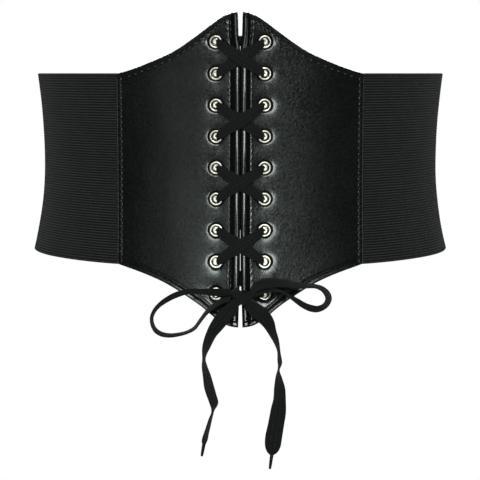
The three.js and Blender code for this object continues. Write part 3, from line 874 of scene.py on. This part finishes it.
# Radius and height along the wall's normal, once round the metal's section
eyeletSection = [
    (2.22, -1.3), (2.3, -1.9), (2.45, -2.1), (2.65, -2), (2.8, -1.4), (2.84, -0.6), (2.86, 0.2),
    (2.89, 0.66), (2.96, 0.86), (3.06, 0.95), (3.2, 1), (3.45, 1.02), (3.7, 1.0), (3.88, 0.96), (4.02, 0.86),
    (4.11, 0.64), (4.17, 0.25), (4.18, -0.15), (4.1, -0.3), (3.96, -0.2), (3.8, 0.1), (3.5, 0.4), (3.2, 0.36),
    (3.05, 0),
    (3, -0.8), (3, -2), (3.1, -2.25), (3.5, -2.3), (4.1, -2.3), (4.3, -2.4), (4.22, -2.56), (3.7, -2.68),
    (2.9, -2.68), (2, -2.6), (1, -2.5), (0.6, -2.2), (0.5, -1.6), (0.52, -1.2), (0.6, -1.06), (0.9, -1),
    (1.5, -1), (1.9, -1.02), (2.12, -1.1),
]


def makeEyelets():
    ring = turnedShape(eyeletSection, eyelet["steps"], isClosed=True)
    for side, word in sides:
        for row in range(eyelet["count"]):
            height = rowHeight(row)
            angle = side * angleAcross(eyelet["fromCentre"], height)
            copy = ring.copy()
            standUp(copy, wallPoint(angle, height, eyelet["sunk"]), wallNormal(angle, height))
            node = f"eyelet_{word.lower()}_{row + 1}"
            addPiece(f"eyelet{word}{row + 1}", copy, nickel, "eyelet_metal", node)
    ring.free()


makeEyelets()
print("eyelets made")


# Front panels: a rolled centre edge, stitched hems, pressed eyelets and a folded side seam

panel = {
    "thickness": 2.6,
    "seam": 79,
    "thinFrom": 68.6,
    "thinTo": 70.8,
    "thinThickness": 1,
    "noseWidth": {-1: 1, 1: 1.9},
    "noseLean": 0.0055,
    "noseSway": {-1: 0.07, 1: 0.045},
    "beadRise": {-1: 0.21, 1: 0.12},
    "ridgeHeight": 0.4,
    "drag": {-1: 0.13, 1: 0.19},
    "topHemWidth": 0.4,
    "bottomHemWidth": 0.6,
    "topHemSlope": 0.2,
    "seamWidth": 1,
    "seamRise": 0.15,
    "seamRisePulse": 0.65,
}

panelOutline = {
    "top": [(0, 96), (4, 95.3), (8, 94.1), (12, 92.2), (16, 89.5), (23, 84.3), (32, 77.8), (42, 71.4),
            (52, 66.8), (63, 62.4), (73, 59), (79, 57.5)],
    "bottom": [(0, -101.3), (4, -101), (8, -100.1), (12, -98.2), (17, -94.8), (25, -88.5), (33, -83.3),
               (42, -77.9), (50, -73.8), (58, -70.6), (66, -67.9), (79, -64)],
    "gap": [(97, 1.5), (82, 1.1), (78, 0.7), (75, 0.2), (72, 0.04), (68, 0), (-10, 0), (-22, 0.06),
            (-44, 0.08), (-55, 0.12), (-65, 0.17), (-72, 0.35), (-78, 0.5), (-88, 0.9), (-103, 1.4)],
}

# Height of the leather over the distance from its centre edge: the padded nose, then the stitched channel
noseOutline = {
    -1: [(0, -0.1), (0.6, 0.22), (1.1, 0.42), (1.5, 0.5), (1.8, 0.52), (2.6, 0.542), (2.9, 0.52), (3.3, 0.36),
         (3.8, 0), (4.4, -0.4), (4.9, -0.55), (5.4, -0.54), (5.8, -0.42), (6.1, -0.18), (6.4, 0.04),
         (6.65, 0.09), (7.2, 0.07), (8.5, 0.02), (10, 0)],
    1: [(0, -0.1), (0.7, 0.2), (1.3, 0.42), (1.8, 0.515), (2.2, 0.53), (3.1, 0.53), (3.45, 0.49), (3.9, 0.3),
        (4.4, -0.1), (4.9, -0.46), (5.3, -0.56), (5.6, -0.46), (5.9, -0.2), (6.15, 0.02), (6.4, 0.08),
        (7, 0.06), (8.5, 0.01), (10, 0)],
}

# Height of the folded bottom hem over the distance from its edge, down into the groove beside it
bottomHem = [(0, 0.1), (0.6, 0.62), (1, 0.6), (2.4, 0.36), (2.9, 0.1), (3.6, -0.3), (4.2, -0.25),
             (4.9, -0.03), (5.6, 0)]

# Lines of stitching: how far in from their own edge, their pitch and the groove they pull
stitching = {
    "pitch": 4,
    "rows": 24,
    "lift": 0.12,
    "hemLift": -0.25,
    "slant": {-1: 0.15, 1: 0.75},
    "raise": 0.3,
    "hemClear": 3.1,
    "seamClear": 1.4,
    "hemStart": 2,
    "search": 0.1,
    "length": 2,
    "radius": 0.42,
    "centreLine": 5.15,
    "beadLine": {-1: 7, 1: 6.7},
    "hemLine": 3.6,
    "seamLine": 3.1,
    "hemDepth": 0.5,
    "hemPulse": 0.34,
    "seamDepth": 0.3,
    "seamPulse": 0.4,
}

# Spacing of the panels' grid, close together at the edges
panelGrid = {
    "fromEdge": [0, 0.12, 0.35, 0.7, 1.1, 1.45, 1.8, 2.1, 2.4, 2.7, 3, 3.3, 3.65, 4, 4.35, 4.7, 5, 5.3, 5.6,
                 5.9, 6.2, 6.5, 6.8, 7.15, 7.5],
    "atSeam": [68.4, 69.2, 70, 70.8, 71.8, 72.8, 73.6, 74.2, 74.7, 75.1, 75.4, 75.7, 75.9, 76.1, 76.4, 76.8,
               77.3, 77.8, 78.2, 78.55, 78.8, 78.93, 79],
    "fromHem": [0, 0.12, 0.35, 0.7, 1.1, 1.6, 2.1, 2.6, 3, 3.3, 3.6, 3.9, 4.3, 4.8, 5.5],
    "step": 0.45,
    "widenFrom": 21,
    "widening": 1.12,
    "widest": 2,
    "middleRows": 288,
}


def panelColumns():
    columns = list(panelGrid["fromEdge"])
    step = panelGrid["step"]
    while columns[-1] + step < panelGrid["atSeam"][0]:
        columns.append(columns[-1] + step)
        if columns[-1] > panelGrid["widenFrom"]:
            step = min(step * panelGrid["widening"], panelGrid["widest"])
    return columns + panelGrid["atSeam"]


columnPlaces = panelColumns()


def outlineAt(across):
    # height and steepness of both hems at a distance from the centre front
    made = []
    for name in ("top", "bottom"):
        rows = panelOutline[name]
        height = smoothValue(rows, across)
        slope = smoothValue(rows, across + 0.5) - smoothValue(rows, across - 0.5)
        made.append((height, 1 / math.hypot(1, slope)))
    return made


def panelSpot(fromEdge, row=None, height=0.0):
    # place on a panel for a distance from its centre edge and a row of its grid, or a height
    for step in range(3):
        edge = smoothValue(panelOutline["gap"], height)
        across = edge + fromEdge * (1 - edge / panel["seam"])
        (top, topShare), (bottom, bottomShare) = outlineAt(across)
        if row is None:
            continue
        hem = panelGrid["fromHem"]
        near = len(hem)
        last = panelGrid["middleRows"] + 2 * near - 2
        if row < near:
            height = bottom + hem[row] / bottomShare
        elif row > last - near:
            height = top - hem[last - row] / topShare
        else:
            low = bottom + hem[-1] / bottomShare
            high = top - hem[-1] / topShare
            height = low + (high - low) * (row - near + 1) / panelGrid["middleRows"]
    return {
        "across": across,
        "height": height,
        "edge": fromEdge,
        "top": (top - height) * topShare,
        "bottom": (height - bottom) * bottomShare,
        "seam": panel["seam"] - across,
        "arc": across / math.sqrt(topShare * bottomShare),
    }


# Height of the leather over the distance from an eyelet's axis: pressed down by its flange
eyeletDish = {
    -1: [(4.4, -0.6), (5.4, -0.45), (6.4, -0.32), (7.4, -0.225), (8.6, -0.14), (10.2, -0.06), (12, -0.02),
         (14, 0)],
    1: [(4.4, -0.54), (5.5, -0.4), (6.6, -0.27), (7.6, -0.175), (9, -0.09), (11, -0.03), (14, 0)],
}


def eyeletRelief(spot, side):
    # leather pressed down by the flange and pushed up round it, with a wide soft dip
    row = min(range(eyelet["count"]), key=lambda each: abs(rowHeight(each) - spot["height"]))
    right = spot["across"] - eyelet["fromCentre"]
    up = spot["height"] - rowHeight(row)
    distance = math.hypot(right, up)
    if distance > eyelet["dishReach"]:
        return 0
    turn = eyelet["pleats"] * math.atan2(up, right) + eyelet["pleatShift"] * row + side
    pleats = eyelet["pleat"] * math.cos(turn)
    dish = smoothValue(eyeletDish[side], distance) + pleats * hill(distance, *eyelet["pleatAt"])
    return dish - eyelet["rimDip"] * hill(distance, *eyelet["rimDipAt"])


# Where each form of the leather lies: the two ends of a slope, or the middle and the reach of a hill
form = {
    "insideHem": (2.2, 4.2),
    "noseStart": (0.4, 4.4),
    "noseMiddle": 10,
    "swayAt": (2.4, 2),
    "swayTop": (60, 76),
    "holeDepth": 0.5,
    "holeAcross": 0.8,
    "holeAlong": (0.5, 0.3),
    "beadAt": (7.4, 1.2),
    "besideNose": (4.4, 6),
    "besideSeam": (2.6, 3.6),
    "hemGroove": 0.9,
    "hemPucker": 0.04,
    "hemPuckerAt": (5, 1.6),
    "hemFold": (3.1, 2.7),
    "seamRoll": (1.5, 1.4),
    "seamGroove": 1.0,
    "seamStart": (0.6, 2),
    "seamPucker": 0.07,
    "seamPuckerAt": (4.6, 1.8),
    "ridge": (6.5, 14),
    "uneven": 0.5,
    "unevenSize": (24, 34),
    "unevenEdge": (7, 18),
    "unevenSeam": (3, 16),
    "unevenHem": (4, 12),
    "dragSlant": 0.35,
    "dragSize": (26, 8),
    "dragEdge": (12, 22),
    "dragEnd": (34, 66),
    "dragHem": (4, 9),
}


def noseRelief(spot, side, nearHem):
    # the padded edge drawn in at each eyelet, then the stitched channel and the beaded roll beside it
    pitch = stitching["pitch"]
    edge, height = spot["edge"], spot["height"]
    inside = ease(nearHem, *form["insideHem"])
    shifted = edge - side * panel["noseLean"] * (height - form["noseMiddle"])
    relief = smoothValue(noseOutline[side], shifted) * ease(nearHem, *form["noseStart"])
    fromRow = min(height, rowHeight(0)) - rowHeight(1)
    pulled = panel["noseSway"][side] * (wave(fromRow, 2 * eyelet["pitch"]) - 1)
    pulled *= 1 + ease(height, *form["swayTop"])
    relief += pulled * (edge - form["swayAt"][0]) * hill(edge, *form["swayAt"])
    channel = stitching["centreLine"]
    hole = form["holeDepth"] * hill(edge, channel, form["holeAcross"])
    relief -= hole * hill((height / pitch) % 1, *form["holeAlong"]) * inside
    bead = pulsing(0.5, height - (edge - channel) / 2, pitch) ** 2
    return relief + panel["beadRise"][side] * bead * hill(edge, *form["beadAt"]) * inside


def hemRelief(spot):
    top, arc, pitch = spot["top"], spot["arc"], stitching["pitch"]
    besideNose = ease(spot["edge"], *form["besideNose"])
    besideSeam = ease(spot["seam"], *form["besideSeam"])
    groove = hill(top, stitching["hemLine"], form["hemGroove"]) * besideNose * besideSeam
    relief = -stitching["hemDepth"] * groove * pulsing(stitching["hemPulse"], arc, pitch)
    pucker = form["hemPucker"] * wave(arc - top / 2, pitch)
    relief += pucker * hill(top, *form["hemPuckerAt"]) * besideNose
    relief += panel["topHemSlope"] * min(max(form["hemFold"][0] - top, 0), form["hemFold"][1])
    return relief + smoothValue(bottomHem, spot["bottom"])


def seamRelief(seam, height, nearHem):
    pitch = stitching["pitch"]
    line = hill(seam, stitching["seamLine"], form["seamGroove"]) * ease(nearHem, *form["seamStart"])
    roll = panel["seamRise"] * hill(seam, *form["seamRoll"])
    relief = roll * pulsing(panel["seamRisePulse"], height, pitch)
    relief -= stitching["seamDepth"] * line * pulsing(stitching["seamPulse"], height, pitch)
    return relief + form["seamPucker"] * wave(height, pitch) * hill(seam, *form["seamPuckerAt"])


def unevenRelief(spot, side, nearHem):
    # slow swells all over, and drag lines from the eyelets into the panel
    edge, height, across = spot["edge"], spot["height"], spot["across"]
    field = ease(edge, *form["unevenEdge"]) * ease(spot["seam"], *form["unevenSeam"])
    field *= ease(nearHem, *form["unevenHem"])
    wide, tall = form["unevenSize"]
    swell = field * form["uneven"] * roughly(across / wide, height / tall, seeds["swell"] * side)
    wide, tall = form["dragSize"]
    drag = roughly(across / wide, (height + form["dragSlant"] * across) / tall, seeds["drag"] + side)
    drag *= panel["drag"][side] * ease(edge, *form["dragEdge"]) * (1 - ease(across, *form["dragEnd"]))
    return swell + drag * ease(nearHem, *form["dragHem"])


def panelRelief(spot, side):
    nearHem = min(spot["top"], spot["bottom"])
    relief = noseRelief(spot, side, nearHem) + hemRelief(spot) + eyeletRelief(spot, side)
    relief += seamRelief(spot["seam"], spot["height"], nearHem)
    relief += panel["ridgeHeight"] * (1 - ease(spot["across"], *form["ridge"]))
    return relief + unevenRelief(spot, side, nearHem)


def wallThickness(across):
    thin = ease(across, panel["thinFrom"], panel["thinTo"])
    return panel["thickness"] + (panel["thinThickness"] - panel["thickness"]) * thin


def panelOffset(spot, side, isOuter):
    share = (
        rolled(spot["edge"], panel["noseWidth"][side])
        * rolled(spot["top"], panel["topHemWidth"])
        * rolled(spot["bottom"], panel["bottomHemWidth"])
        * rolled(spot["seam"], panel["seamWidth"])
    )
    thickness = wallThickness(spot["across"])
    middle = -thickness / 2
    if isOuter:
        return middle + share * (thickness / 2 + panelRelief(spot, side))
    return middle - share * thickness / 2


def panelPoint(spot, side, outward):
    angle = side * angleAcross(spot["across"], spot["height"])
    return wallPoint(angle, spot["height"], outward)


def cutEyeletHoles(bm, side, spots):
    # removes the grid inside each hole, draws its rim to a circle and joins both faces through the wall
    centres = [Vector((eyelet["fromCentre"], rowHeight(row))) for row in range(eyelet["count"])]

    def flatSpot(vert):
        return Vector((spots[vert][0]["across"], spots[vert][0]["height"]))

    def isInHole(vert):
        return any((flatSpot(vert) - centre).length < eyelet["panelHole"] for centre in centres)

    bmesh.ops.delete(bm, geom=[vert for vert in bm.verts if isInHole(vert)], context="VERTS")
    rims = [[] for centre in centres]
    for edge in bm.edges:
        if not edge.is_boundary:
            continue
        flat = flatSpot(edge.verts[0])
        row = min(range(len(centres)), key=lambda each: (flat - centres[each]).length)
        if (flat - centres[row]).length < 2 * eyelet["panelHole"]:
            rims[row].append(edge)
    for row, edges in enumerate(rims):
        for vert in {vert for edge in edges for vert in edge.verts}:
            spot, isOuter = spots[vert]
            flat = centres[row] + (flatSpot(vert) - centres[row]).normalized() * eyelet["panelHole"]
            moved = dict(spot, across=flat.x, height=flat.y)
            vert.co = panelPoint(moved, side, panelOffset(moved, side, isOuter))
        bmesh.ops.bridge_loops(bm, edges=edges)


def makePanel(side, word):
    columns = len(columnPlaces) - 1
    rows = panelGrid["middleRows"] + 2 * (len(panelGrid["fromHem"]) - 1)
    bm = bmesh.new()
    found = {}
    spots = {}
    for isOuter in (True, False):
        for vert, column, row in gridSpots(bm, columns, rows):
            if (column, row) not in found:
                found[column, row] = panelSpot(columnPlaces[column], row)
            spot = found[column, row]
            vert.co = panelPoint(spot, side, panelOffset(spot, side, isOuter))
            spots[vert] = (spot, isOuter)
    cutEyeletHoles(bm, side, spots)
    closeUp(bm)
    addPiece(f"frontPanel{word}", bm, leather, "leather", f"panel_{word.lower()}")


for side, word in sides:
    makePanel(side, word)
print("front panels made")


# Thread of the panels' stitch lines, one short raised stitch at a time

def stitchPlaces(side):
    pitch = stitching["pitch"]
    made = []

    def add(fromEdge, height, nextEdge, nextHeight, lift=stitching["lift"]):
        spot = panelSpot(fromEdge, height=height)
        ahead = panelSpot(nextEdge, height=nextHeight)
        offset = panelOffset(spot, side, True) + lift
        here = panelPoint(spot, side, offset)
        there = panelPoint(ahead, side, offset)
        normal = wallNormal(side * angleAcross(spot["across"], height), height)
        made.append((here, (there - here).normalized(), normal))

    def isClear(fromEdge, height, clear):
        spot = panelSpot(fromEdge, height=height)
        return min(spot["top"], spot["bottom"]) > clear

    beside = stitching["beadLine"][side]
    seamEdge = panel["seam"] - stitching["seamLine"]
    for step in range(-stitching["rows"], stitching["rows"]):
        height = (step + 0.5) * pitch
        if isClear(beside, height, stitching["hemClear"]):
            start = height + stitching["raise"]
            add(beside, start, beside + stitching["slant"][side], start + 1)
        if isClear(seamEdge, height, stitching["seamClear"]):
            add(seamEdge, height, seamEdge, height + 1)
    step = 1
    across = stitching["centreLine"]
    while across < seamEdge - 1:
        spot = panelSpot(across)
        if spot["arc"] >= (step + 0.5) * pitch:
            if across > beside + stitching["hemStart"]:
                pair = []
                for place in (across, across + 1):
                    height, share = outlineAt(place)[0]
                    pair.append(height - stitching["hemLine"] / share)
                add(across, pair[0], across + 1, pair[1], stitching["hemLift"])
            step += 1
        across += stitching["search"]
    return made


def makeStitches(name, places):
    bm = bmesh.new()
    for here, way, normal in places:
        sideways = way.cross(normal).normalized()
        axes = Matrix((sideways, way, sideways.cross(way))).transposed().to_4x4()
        size = Matrix.Diagonal((stitching["radius"], stitching["length"] / 2, stitching["radius"], 1))
        bmesh.ops.create_uvsphere(bm, u_segments=8, v_segments=6, radius=1,
                                  matrix=Matrix.Translation(here) @ axes @ size)
    closeUp(bm)
    addPiece(name, bm, thread, "lace")


for side, word in sides:
    makeStitches(f"panelStitches{word}", stitchPlaces(side))
print("stitches made")


# Ribbed elastic from behind each panel round to the centre back

elastic = {
    "thickness": 1.6,
    "outward": -1.3,
    "start": 71.4,
    "top": 57.5,
    "backGap": 0.5,
    "columns": 120,
    "ribs": 72,
    "ribSteps": 4,
    "ribDepth": 0.24,
    "ribRoundness": 0.8,
    "nextToEdge": 0.8,
    "slack": 0.25,
    "slackFrom": 0.75,
    "slackWaves": 6,
    "slackHeight": 30,
    "length": 296,
    "bottom": [(30, -64), (36, -64), (59, -63), (85, -62.2), (180, -62)],
}


def makeElasticHalf(side, word):
    columns = elastic["columns"]
    rows = elastic["ribs"] * elastic["ribSteps"]
    end = math.pi - elastic["backGap"] / waist["halfWidth"]
    found = {}

    def spotAt(column, row):
        height = 0.0
        for step in range(3):
            start = angleAcross(elastic["start"], height)
            angle = start + (end - start) * column / columns
            bottom = smoothValue(elastic["bottom"], math.degrees(angle))
            height = bottom + (elastic["top"] - bottom) * row / rows
        return angle, height

    def place(column, row, isOuter):
        if (column, row) not in found:
            found[column, row] = spotAt(column, row)
        angle, height = found[column, row]
        share = elastic["nextToEdge"] if row in (1, rows - 1) else 1
        if column in (0, columns) or row in (0, rows):
            share = 0
        rib = abs(math.sin(math.pi * row / elastic["ribSteps"])) ** elastic["ribRoundness"]
        slack = 0
        if angle > elastic["slackFrom"]:
            slack = elastic["slack"] * roughly(
                angle * elastic["slackWaves"], height / elastic["slackHeight"], seeds["slack"] + side)
        middle = elastic["outward"] - elastic["thickness"] / 2 + slack
        half = elastic["thickness"] / 2 - elastic["ribDepth"] * (1 - rib)
        return wallPoint(side * angle, height, middle + share * (half if isOuter else -half))

    bm = closedWall(columns, rows, place, size=(elastic["length"], elastic["top"] - elastic["bottom"][-1][1]))
    addPiece(f"ribbedElastic{word}", bm, ribbed, "elastic", f"elastic_{word.lower()}")


for side, word in sides:
    makeElasticHalf(side, word)
print("elastic made")


# Plain closing strip over both ends of the elastic at the centre back

closure = {
    "width": 32,
    "thickness": 1.5,
    "inset": 1.5,
    "inner": -1,
    "line": 2.6,
    "columns": 56,
    "rows": 150,
    "roll": 1.2,
    "grooveReach": 0.9,
    "grooveStart": (1.8, 2.6),
    "grooveDepth": 0.2,
    "groovePulse": 0.3,
    "uneven": 0.12,
    "unevenSize": (9, 12),
    "lift": 0.1,
    "edgeSteps": [0, 0.1, 0.3, 0.6, 1, 1.4, 1.8, 2.2, 2.6, 3, 3.4, 3.9],
}


def closureAngle(fromSide):
    return math.pi + (fromSide - closure["width"] / 2) / waist["halfWidth"]


def closureOffset(fromSide, height, low, high):
    inward = min(fromSide, closure["width"] - fromSide)
    hem = min(height - low, high - height)
    share = rolled(inward, closure["roll"]) * rolled(hem, closure["roll"])
    groove = max(hill(near, closure["line"], closure["grooveReach"]) * ease(other, *closure["grooveStart"])
                 for near, other in ((inward, hem), (hem, inward)))
    along = height if inward < hem else fromSide
    relief = -closure["grooveDepth"] * groove * pulsing(closure["groovePulse"], along, stitching["pitch"])
    wide, tall = closure["unevenSize"]
    return share, relief + closure["uneven"] * roughly(fromSide / wide, height / tall, seeds["closure"])


def makeClosure():
    low = elastic["bottom"][-1][1] + closure["inset"]
    high = elastic["top"] - closure["inset"]
    near = closure["edgeSteps"]

    def spread(size, steps):
        middle = steps - 2 * (len(near) - 1)
        span = size - 2 * near[-1]
        inner = [near[-1] + span * step / middle for step in range(1, middle)]
        return near + inner + [size - step for step in reversed(near)]

    across = spread(closure["width"], closure["columns"])
    up = spread(high - low, closure["rows"])

    def place(column, row, isOuter):
        angle, height = closureAngle(across[column]), low + up[row]
        share, relief = closureOffset(across[column], height, low, high)
        half = closure["thickness"] / 2
        middle = closure["inner"] + half
        return wallPoint(angle, height, middle + share * (half + relief if isOuter else -half))

    bm = closedWall(closure["columns"], closure["rows"], place)
    addPiece("backClosure", bm, leather, "leather", "back_closure")
    places = []

    def add(fromSide, height, isUpright):
        angle = closureAngle(fromSide)
        relief = closureOffset(fromSide, height, low, high)[1]
        normal = wallNormal(angle, height)
        here = wallPoint(angle, height, closure["inner"] + closure["thickness"] + relief + closure["lift"])
        upward = Vector((0, 0, 1))
        places.append((here, upward if isUpright else upward.cross(normal).normalized(), normal))

    pitch = stitching["pitch"]
    line = closure["line"]
    for step in range(-stitching["rows"], stitching["rows"]):
        height = (step + 0.5) * pitch
        if low + line < height < high - line:
            for fromSide in (line, closure["width"] - line):
                add(fromSide, height, True)
    for step in range(1, closure["width"] // pitch - 1):
        for height in (low + line, high - line):
            add((step + 0.5) * pitch, height, False)
    makeStitches("closureStitches", places)


makeClosure()
print("back closure made")


# Lacing that the eyelets hold, from one side of the knot to the other

# How the lace turns through an eyelet: towards the centre, out from the wall, lean, width
eyeletTurn = [
    (6.2, -4.5, 1, 6),
    (2.7, -4.7, 0.6, 4.6),
    (0.9, -3.7, 0, 2.8),
    (1, -0.9, 0, 3.2),
    (1.05, 0.6, 0.1, 3.7),
    (1.75, 1.75, 0.35, 4.6),
    (3.2, 2.15, 0.75, 5.4),
    (6.2, 1.8, 1, 6.3),
]
# A stretch where it crosses another: share of its way, lift, width
crossing = [(0.36, 0.8, 7.8), (0.5, 1, 8.3), (0.64, 0.8, 7.8)]
layers = {
    "top": {"left": 2.5, "right": 1},
    "front": {"left": 1, "right": 2.5},
    "back": {"left": -4.2, "right": -5.6},
}
lacing = {
    "steps": 4,
    "levelWidth": 6.5,
    "knotReach": 5.7,
    "knotOutward": 3.6,
    "knotWidth": 5,
    "knotX": 1.2,
}


def lacingSpot(fromCentre, height, outward, width, slope):
    angle = angleAcross(fromCentre, height)
    normal = wallNormal(angle, height)
    across = Vector((-slope, 0, 1))
    across = (across - normal * across.dot(normal)).normalized()
    return {"point": wallPoint(angle, height, outward), "across": across, "width": width}


def lacingHalf(startSide, layer):
    spots = []
    fullSlope = eyelet["pitch"] / (2 * eyelet["fromCentre"])
    for row in range(eyelet["count"]):
        goesOut = row % 2 == 0
        side = startSide if goesOut else -startSide
        isLast = row == eyelet["count"] - 1
        before = 0 if row == 0 else -side * fullSlope
        after = 0 if isLast else side * fullSlope
        backSlope, frontSlope = (before, after) if goesOut else (after, before)
        turn = []
        for inward, outward, lean, width in eyeletTurn:
            slope = (backSlope if outward < 0 else frontSlope) * lean
            height = rowHeight(row) - side * slope * inward
            turn.append(lacingSpot(side * (eyelet["fromCentre"] - inward), height, outward, width, slope))
        spots += turn if goesOut else turn[::-1]
        if isLast:
            break
        face = "back" if not goesOut else "top" if row == 0 else "front"
        rest = eyeletTurn[-1 if goesOut else 0][1]
        slope = side * fullSlope
        for share, lift, width in crossing:
            fromCentre = side * eyelet["fromCentre"] * (1 - 2 * share)
            height = rowHeight(row) - eyelet["pitch"] * share
            outward = rest + (layers[face][layer] - rest) * lift
            spots.append(lacingSpot(fromCentre, height, outward, width, slope))
    return spots


def makeLacing():
    bar = lacingSpot(0, rowHeight(0), eyeletTurn[0][1], lacing["levelWidth"], 0)
    bottom = rowHeight(eyelet["count"] - 1)
    ends = [
        lacingSpot(lacing["knotX"] + side * lacing["knotReach"], bottom, lacing["knotOutward"],
                   lacing["knotWidth"], 0)
        for side in (-1, 1)
    ]
    spots = [ends[1]] + lacingHalf(1, "right")[::-1] + [bar] + lacingHalf(-1, "left") + [ends[0]]
    bm = bmesh.new()
    laceStrip(bm, refined(squared(spots), lacing["steps"]), seeds["lacing"])
    addPiece("laceThroughEyelets", bm, braided, "lace", "lacing")


makeLacing()
print("lacing made")


# Knot: a tight core with bands of lace drawn over it

knot = {
    "centre": (1.2, -109.9, -82),
    "half": (5.7, 3.2, 4.2),
    "folds": 0.35,
    "foldsRound": 9,
    "foldsSlant": 2,
    "rough": 0.25,
    "roughWaves": 2,
    "subdivisions": 5,
    "steps": 5,
    # bands over the core: x, y, z, width, turn
    "bands": [
        [(-3.8, -107.6, -77.6, 5, 0), (-3.4, -111.2, -78.2, 5.4, 0), (-1.2, -113.4, -80.2, 5.8, 0),
         (1.6, -114.1, -82.6, 6, 0), (4.2, -113, -85, 5.6, 0), (5.6, -110.6, -86.6, 5.2, 0),
         (5.8, -107.6, -87, 5, 0)],
        [(7.2, -108, -80.6, 4.6, 0), (6.6, -111.2, -80.4, 4.8, 0), (4, -112.6, -81.6, 5, 0),
         (0.6, -112.9, -83.6, 5, 0), (-2.4, -112.2, -85.4, 5, 0), (-4.6, -109.6, -86.4, 4.8, 0),
         (-4.8, -107.4, -86.2, 4.6, 0)],
    ],
}


def makeKnot():
    bm = bmesh.new()
    bmesh.ops.create_icosphere(bm, subdivisions=knot["subdivisions"], radius=1)
    for vert in bm.verts:
        x, y, z = vert.co
        turn = knot["foldsRound"] * math.atan2(z, x) + knot["foldsSlant"] * y
        fold = knot["folds"] * math.cos(turn) * (1 - y ** 2) ** 0.5
        fold += knot["rough"] * roughly(x * knot["roughWaves"], z * knot["roughWaves"], seeds["knot"])
        vert.co = Vector(h * c for h, c in zip(knot["half"], vert.co)) + vert.normal * fold
    bmesh.ops.translate(bm, vec=knot["centre"], verts=bm.verts)
    for index, band in enumerate(knot["bands"]):
        strip = bmesh.new()
        laceStrip(strip, refined(routeSpots(band), knot["steps"]), seeds["knotBands"] + index)
        mesh = meshFrom("knotBand", strip)
        bm.from_mesh(mesh)
        bpy.data.meshes.remove(mesh)
    addPiece("bowKnot", bm, braided, "lace", "bow_knot")


makeKnot()
print("knot made")


# Pale floor and plain soft light

studio = {
    "floorLevel": -420,
    "floorReach": 6000,
    "floorShade": (0.16, 0.16, 0.16),
    "floorRough": 0.9,
    "seenWhite": 1.0,
    "white": (1, 1, 1, 1),
    "fill": 0.012,
    "lightColour": (0.9, 1, 0.975),
    "lights": [
        # name, place, width, height, power in watts
        ("topBox", (51, -1541, 660), 420, 340, 3.5),
        ("topLeftBox", (-330, -1500, 680), 220, 260, 2.0),
        ("topRightBox", (514, -1352, 770), 420, 260, 1.6),
        ("hemRightBox", (256, -1397, 851), 190, 170, 1.2),
        ("hemLeftBox", (-233, -1401, 851), 190, 170, 0.5),
        ("frontBox", (42, -1677, 0), 150, 900, 4.8),
        ("leftBox", (-690, -1515, 0), 480, 800, 0.82),
        ("rightBox", (751, -1492, 190), 600, 700, 0.2),
        ("backBox", (0, 1700, 500), 900, 700, 20),
        ("farLeftBox", (-1700, 500, 300), 600, 900, 5),
        ("farRightBox", (1700, 500, 300), 600, 900, 5),
    ],
    "aim": (0, -80, -20),
}


def showPale(tree, shading, output):
    # the same clean white wherever the camera looks past the belt
    kind = "Background" if output.bl_idname.endswith("World") else "Emission"
    seen = addNode(tree, kind, Strength=studio["seenWhite"], Color=studio["white"])
    mix = tree.nodes.new("ShaderNodeMixShader")
    for socket, value in zip(mix.inputs, (addNode(tree, "LightPath")["Is Camera Ray"], shading, seen[0])):
        plug(tree, socket, value)
    feed(tree, output, Surface=mix.outputs[0])


def addSoftbox(name, place, width, height, power):
    data = bpy.data.lights.new(name, "AREA")
    data.shape = "RECTANGLE"
    data.size = width * mm
    data.size_y = height * mm
    data.energy = power
    data.color = studio["lightColour"]
    light = addObject(name, data)
    light.location = Vector(place) * mm
    way = Vector(studio["aim"]) - Vector(place)
    light.rotation_euler = way.to_track_quat("-Z", "Y").to_euler()


def makeFloor():
    bm = bmesh.new()
    bmesh.ops.create_grid(bm, x_segments=1, y_segments=1, size=studio["floorReach"] * mm)
    bmesh.ops.translate(bm, vec=(0, 0, studio["floorLevel"] * mm), verts=bm.verts)
    mesh = meshFrom("paleFloor", bm)
    material, tree = startMaterial(
        "palePaint", Base_Color=(*studio["floorShade"], 1), Roughness=studio["floorRough"])[:2]
    showPale(tree, tree.nodes["Principled BSDF"].outputs[0], tree.nodes["Material Output"])
    mesh.materials.append(material)
    floor = addObject("paleFloor", mesh)


def makeWorld():
    world = bpy.data.worlds.new("paleRoom")
    world.use_nodes = True
    bpy.context.scene.world = world
    tree = world.node_tree
    fill = tree.nodes["Background"]
    feed(tree, fill, Strength=studio["fill"], Color=studio["white"])
    showPale(tree, fill.outputs[0], tree.nodes["World Output"])


for light in studio["lights"]:
    addSoftbox(*light)
makeFloor()
makeWorld()
bpy.context.scene.view_settings.view_transform = "Standard"
print("floor and lights placed")
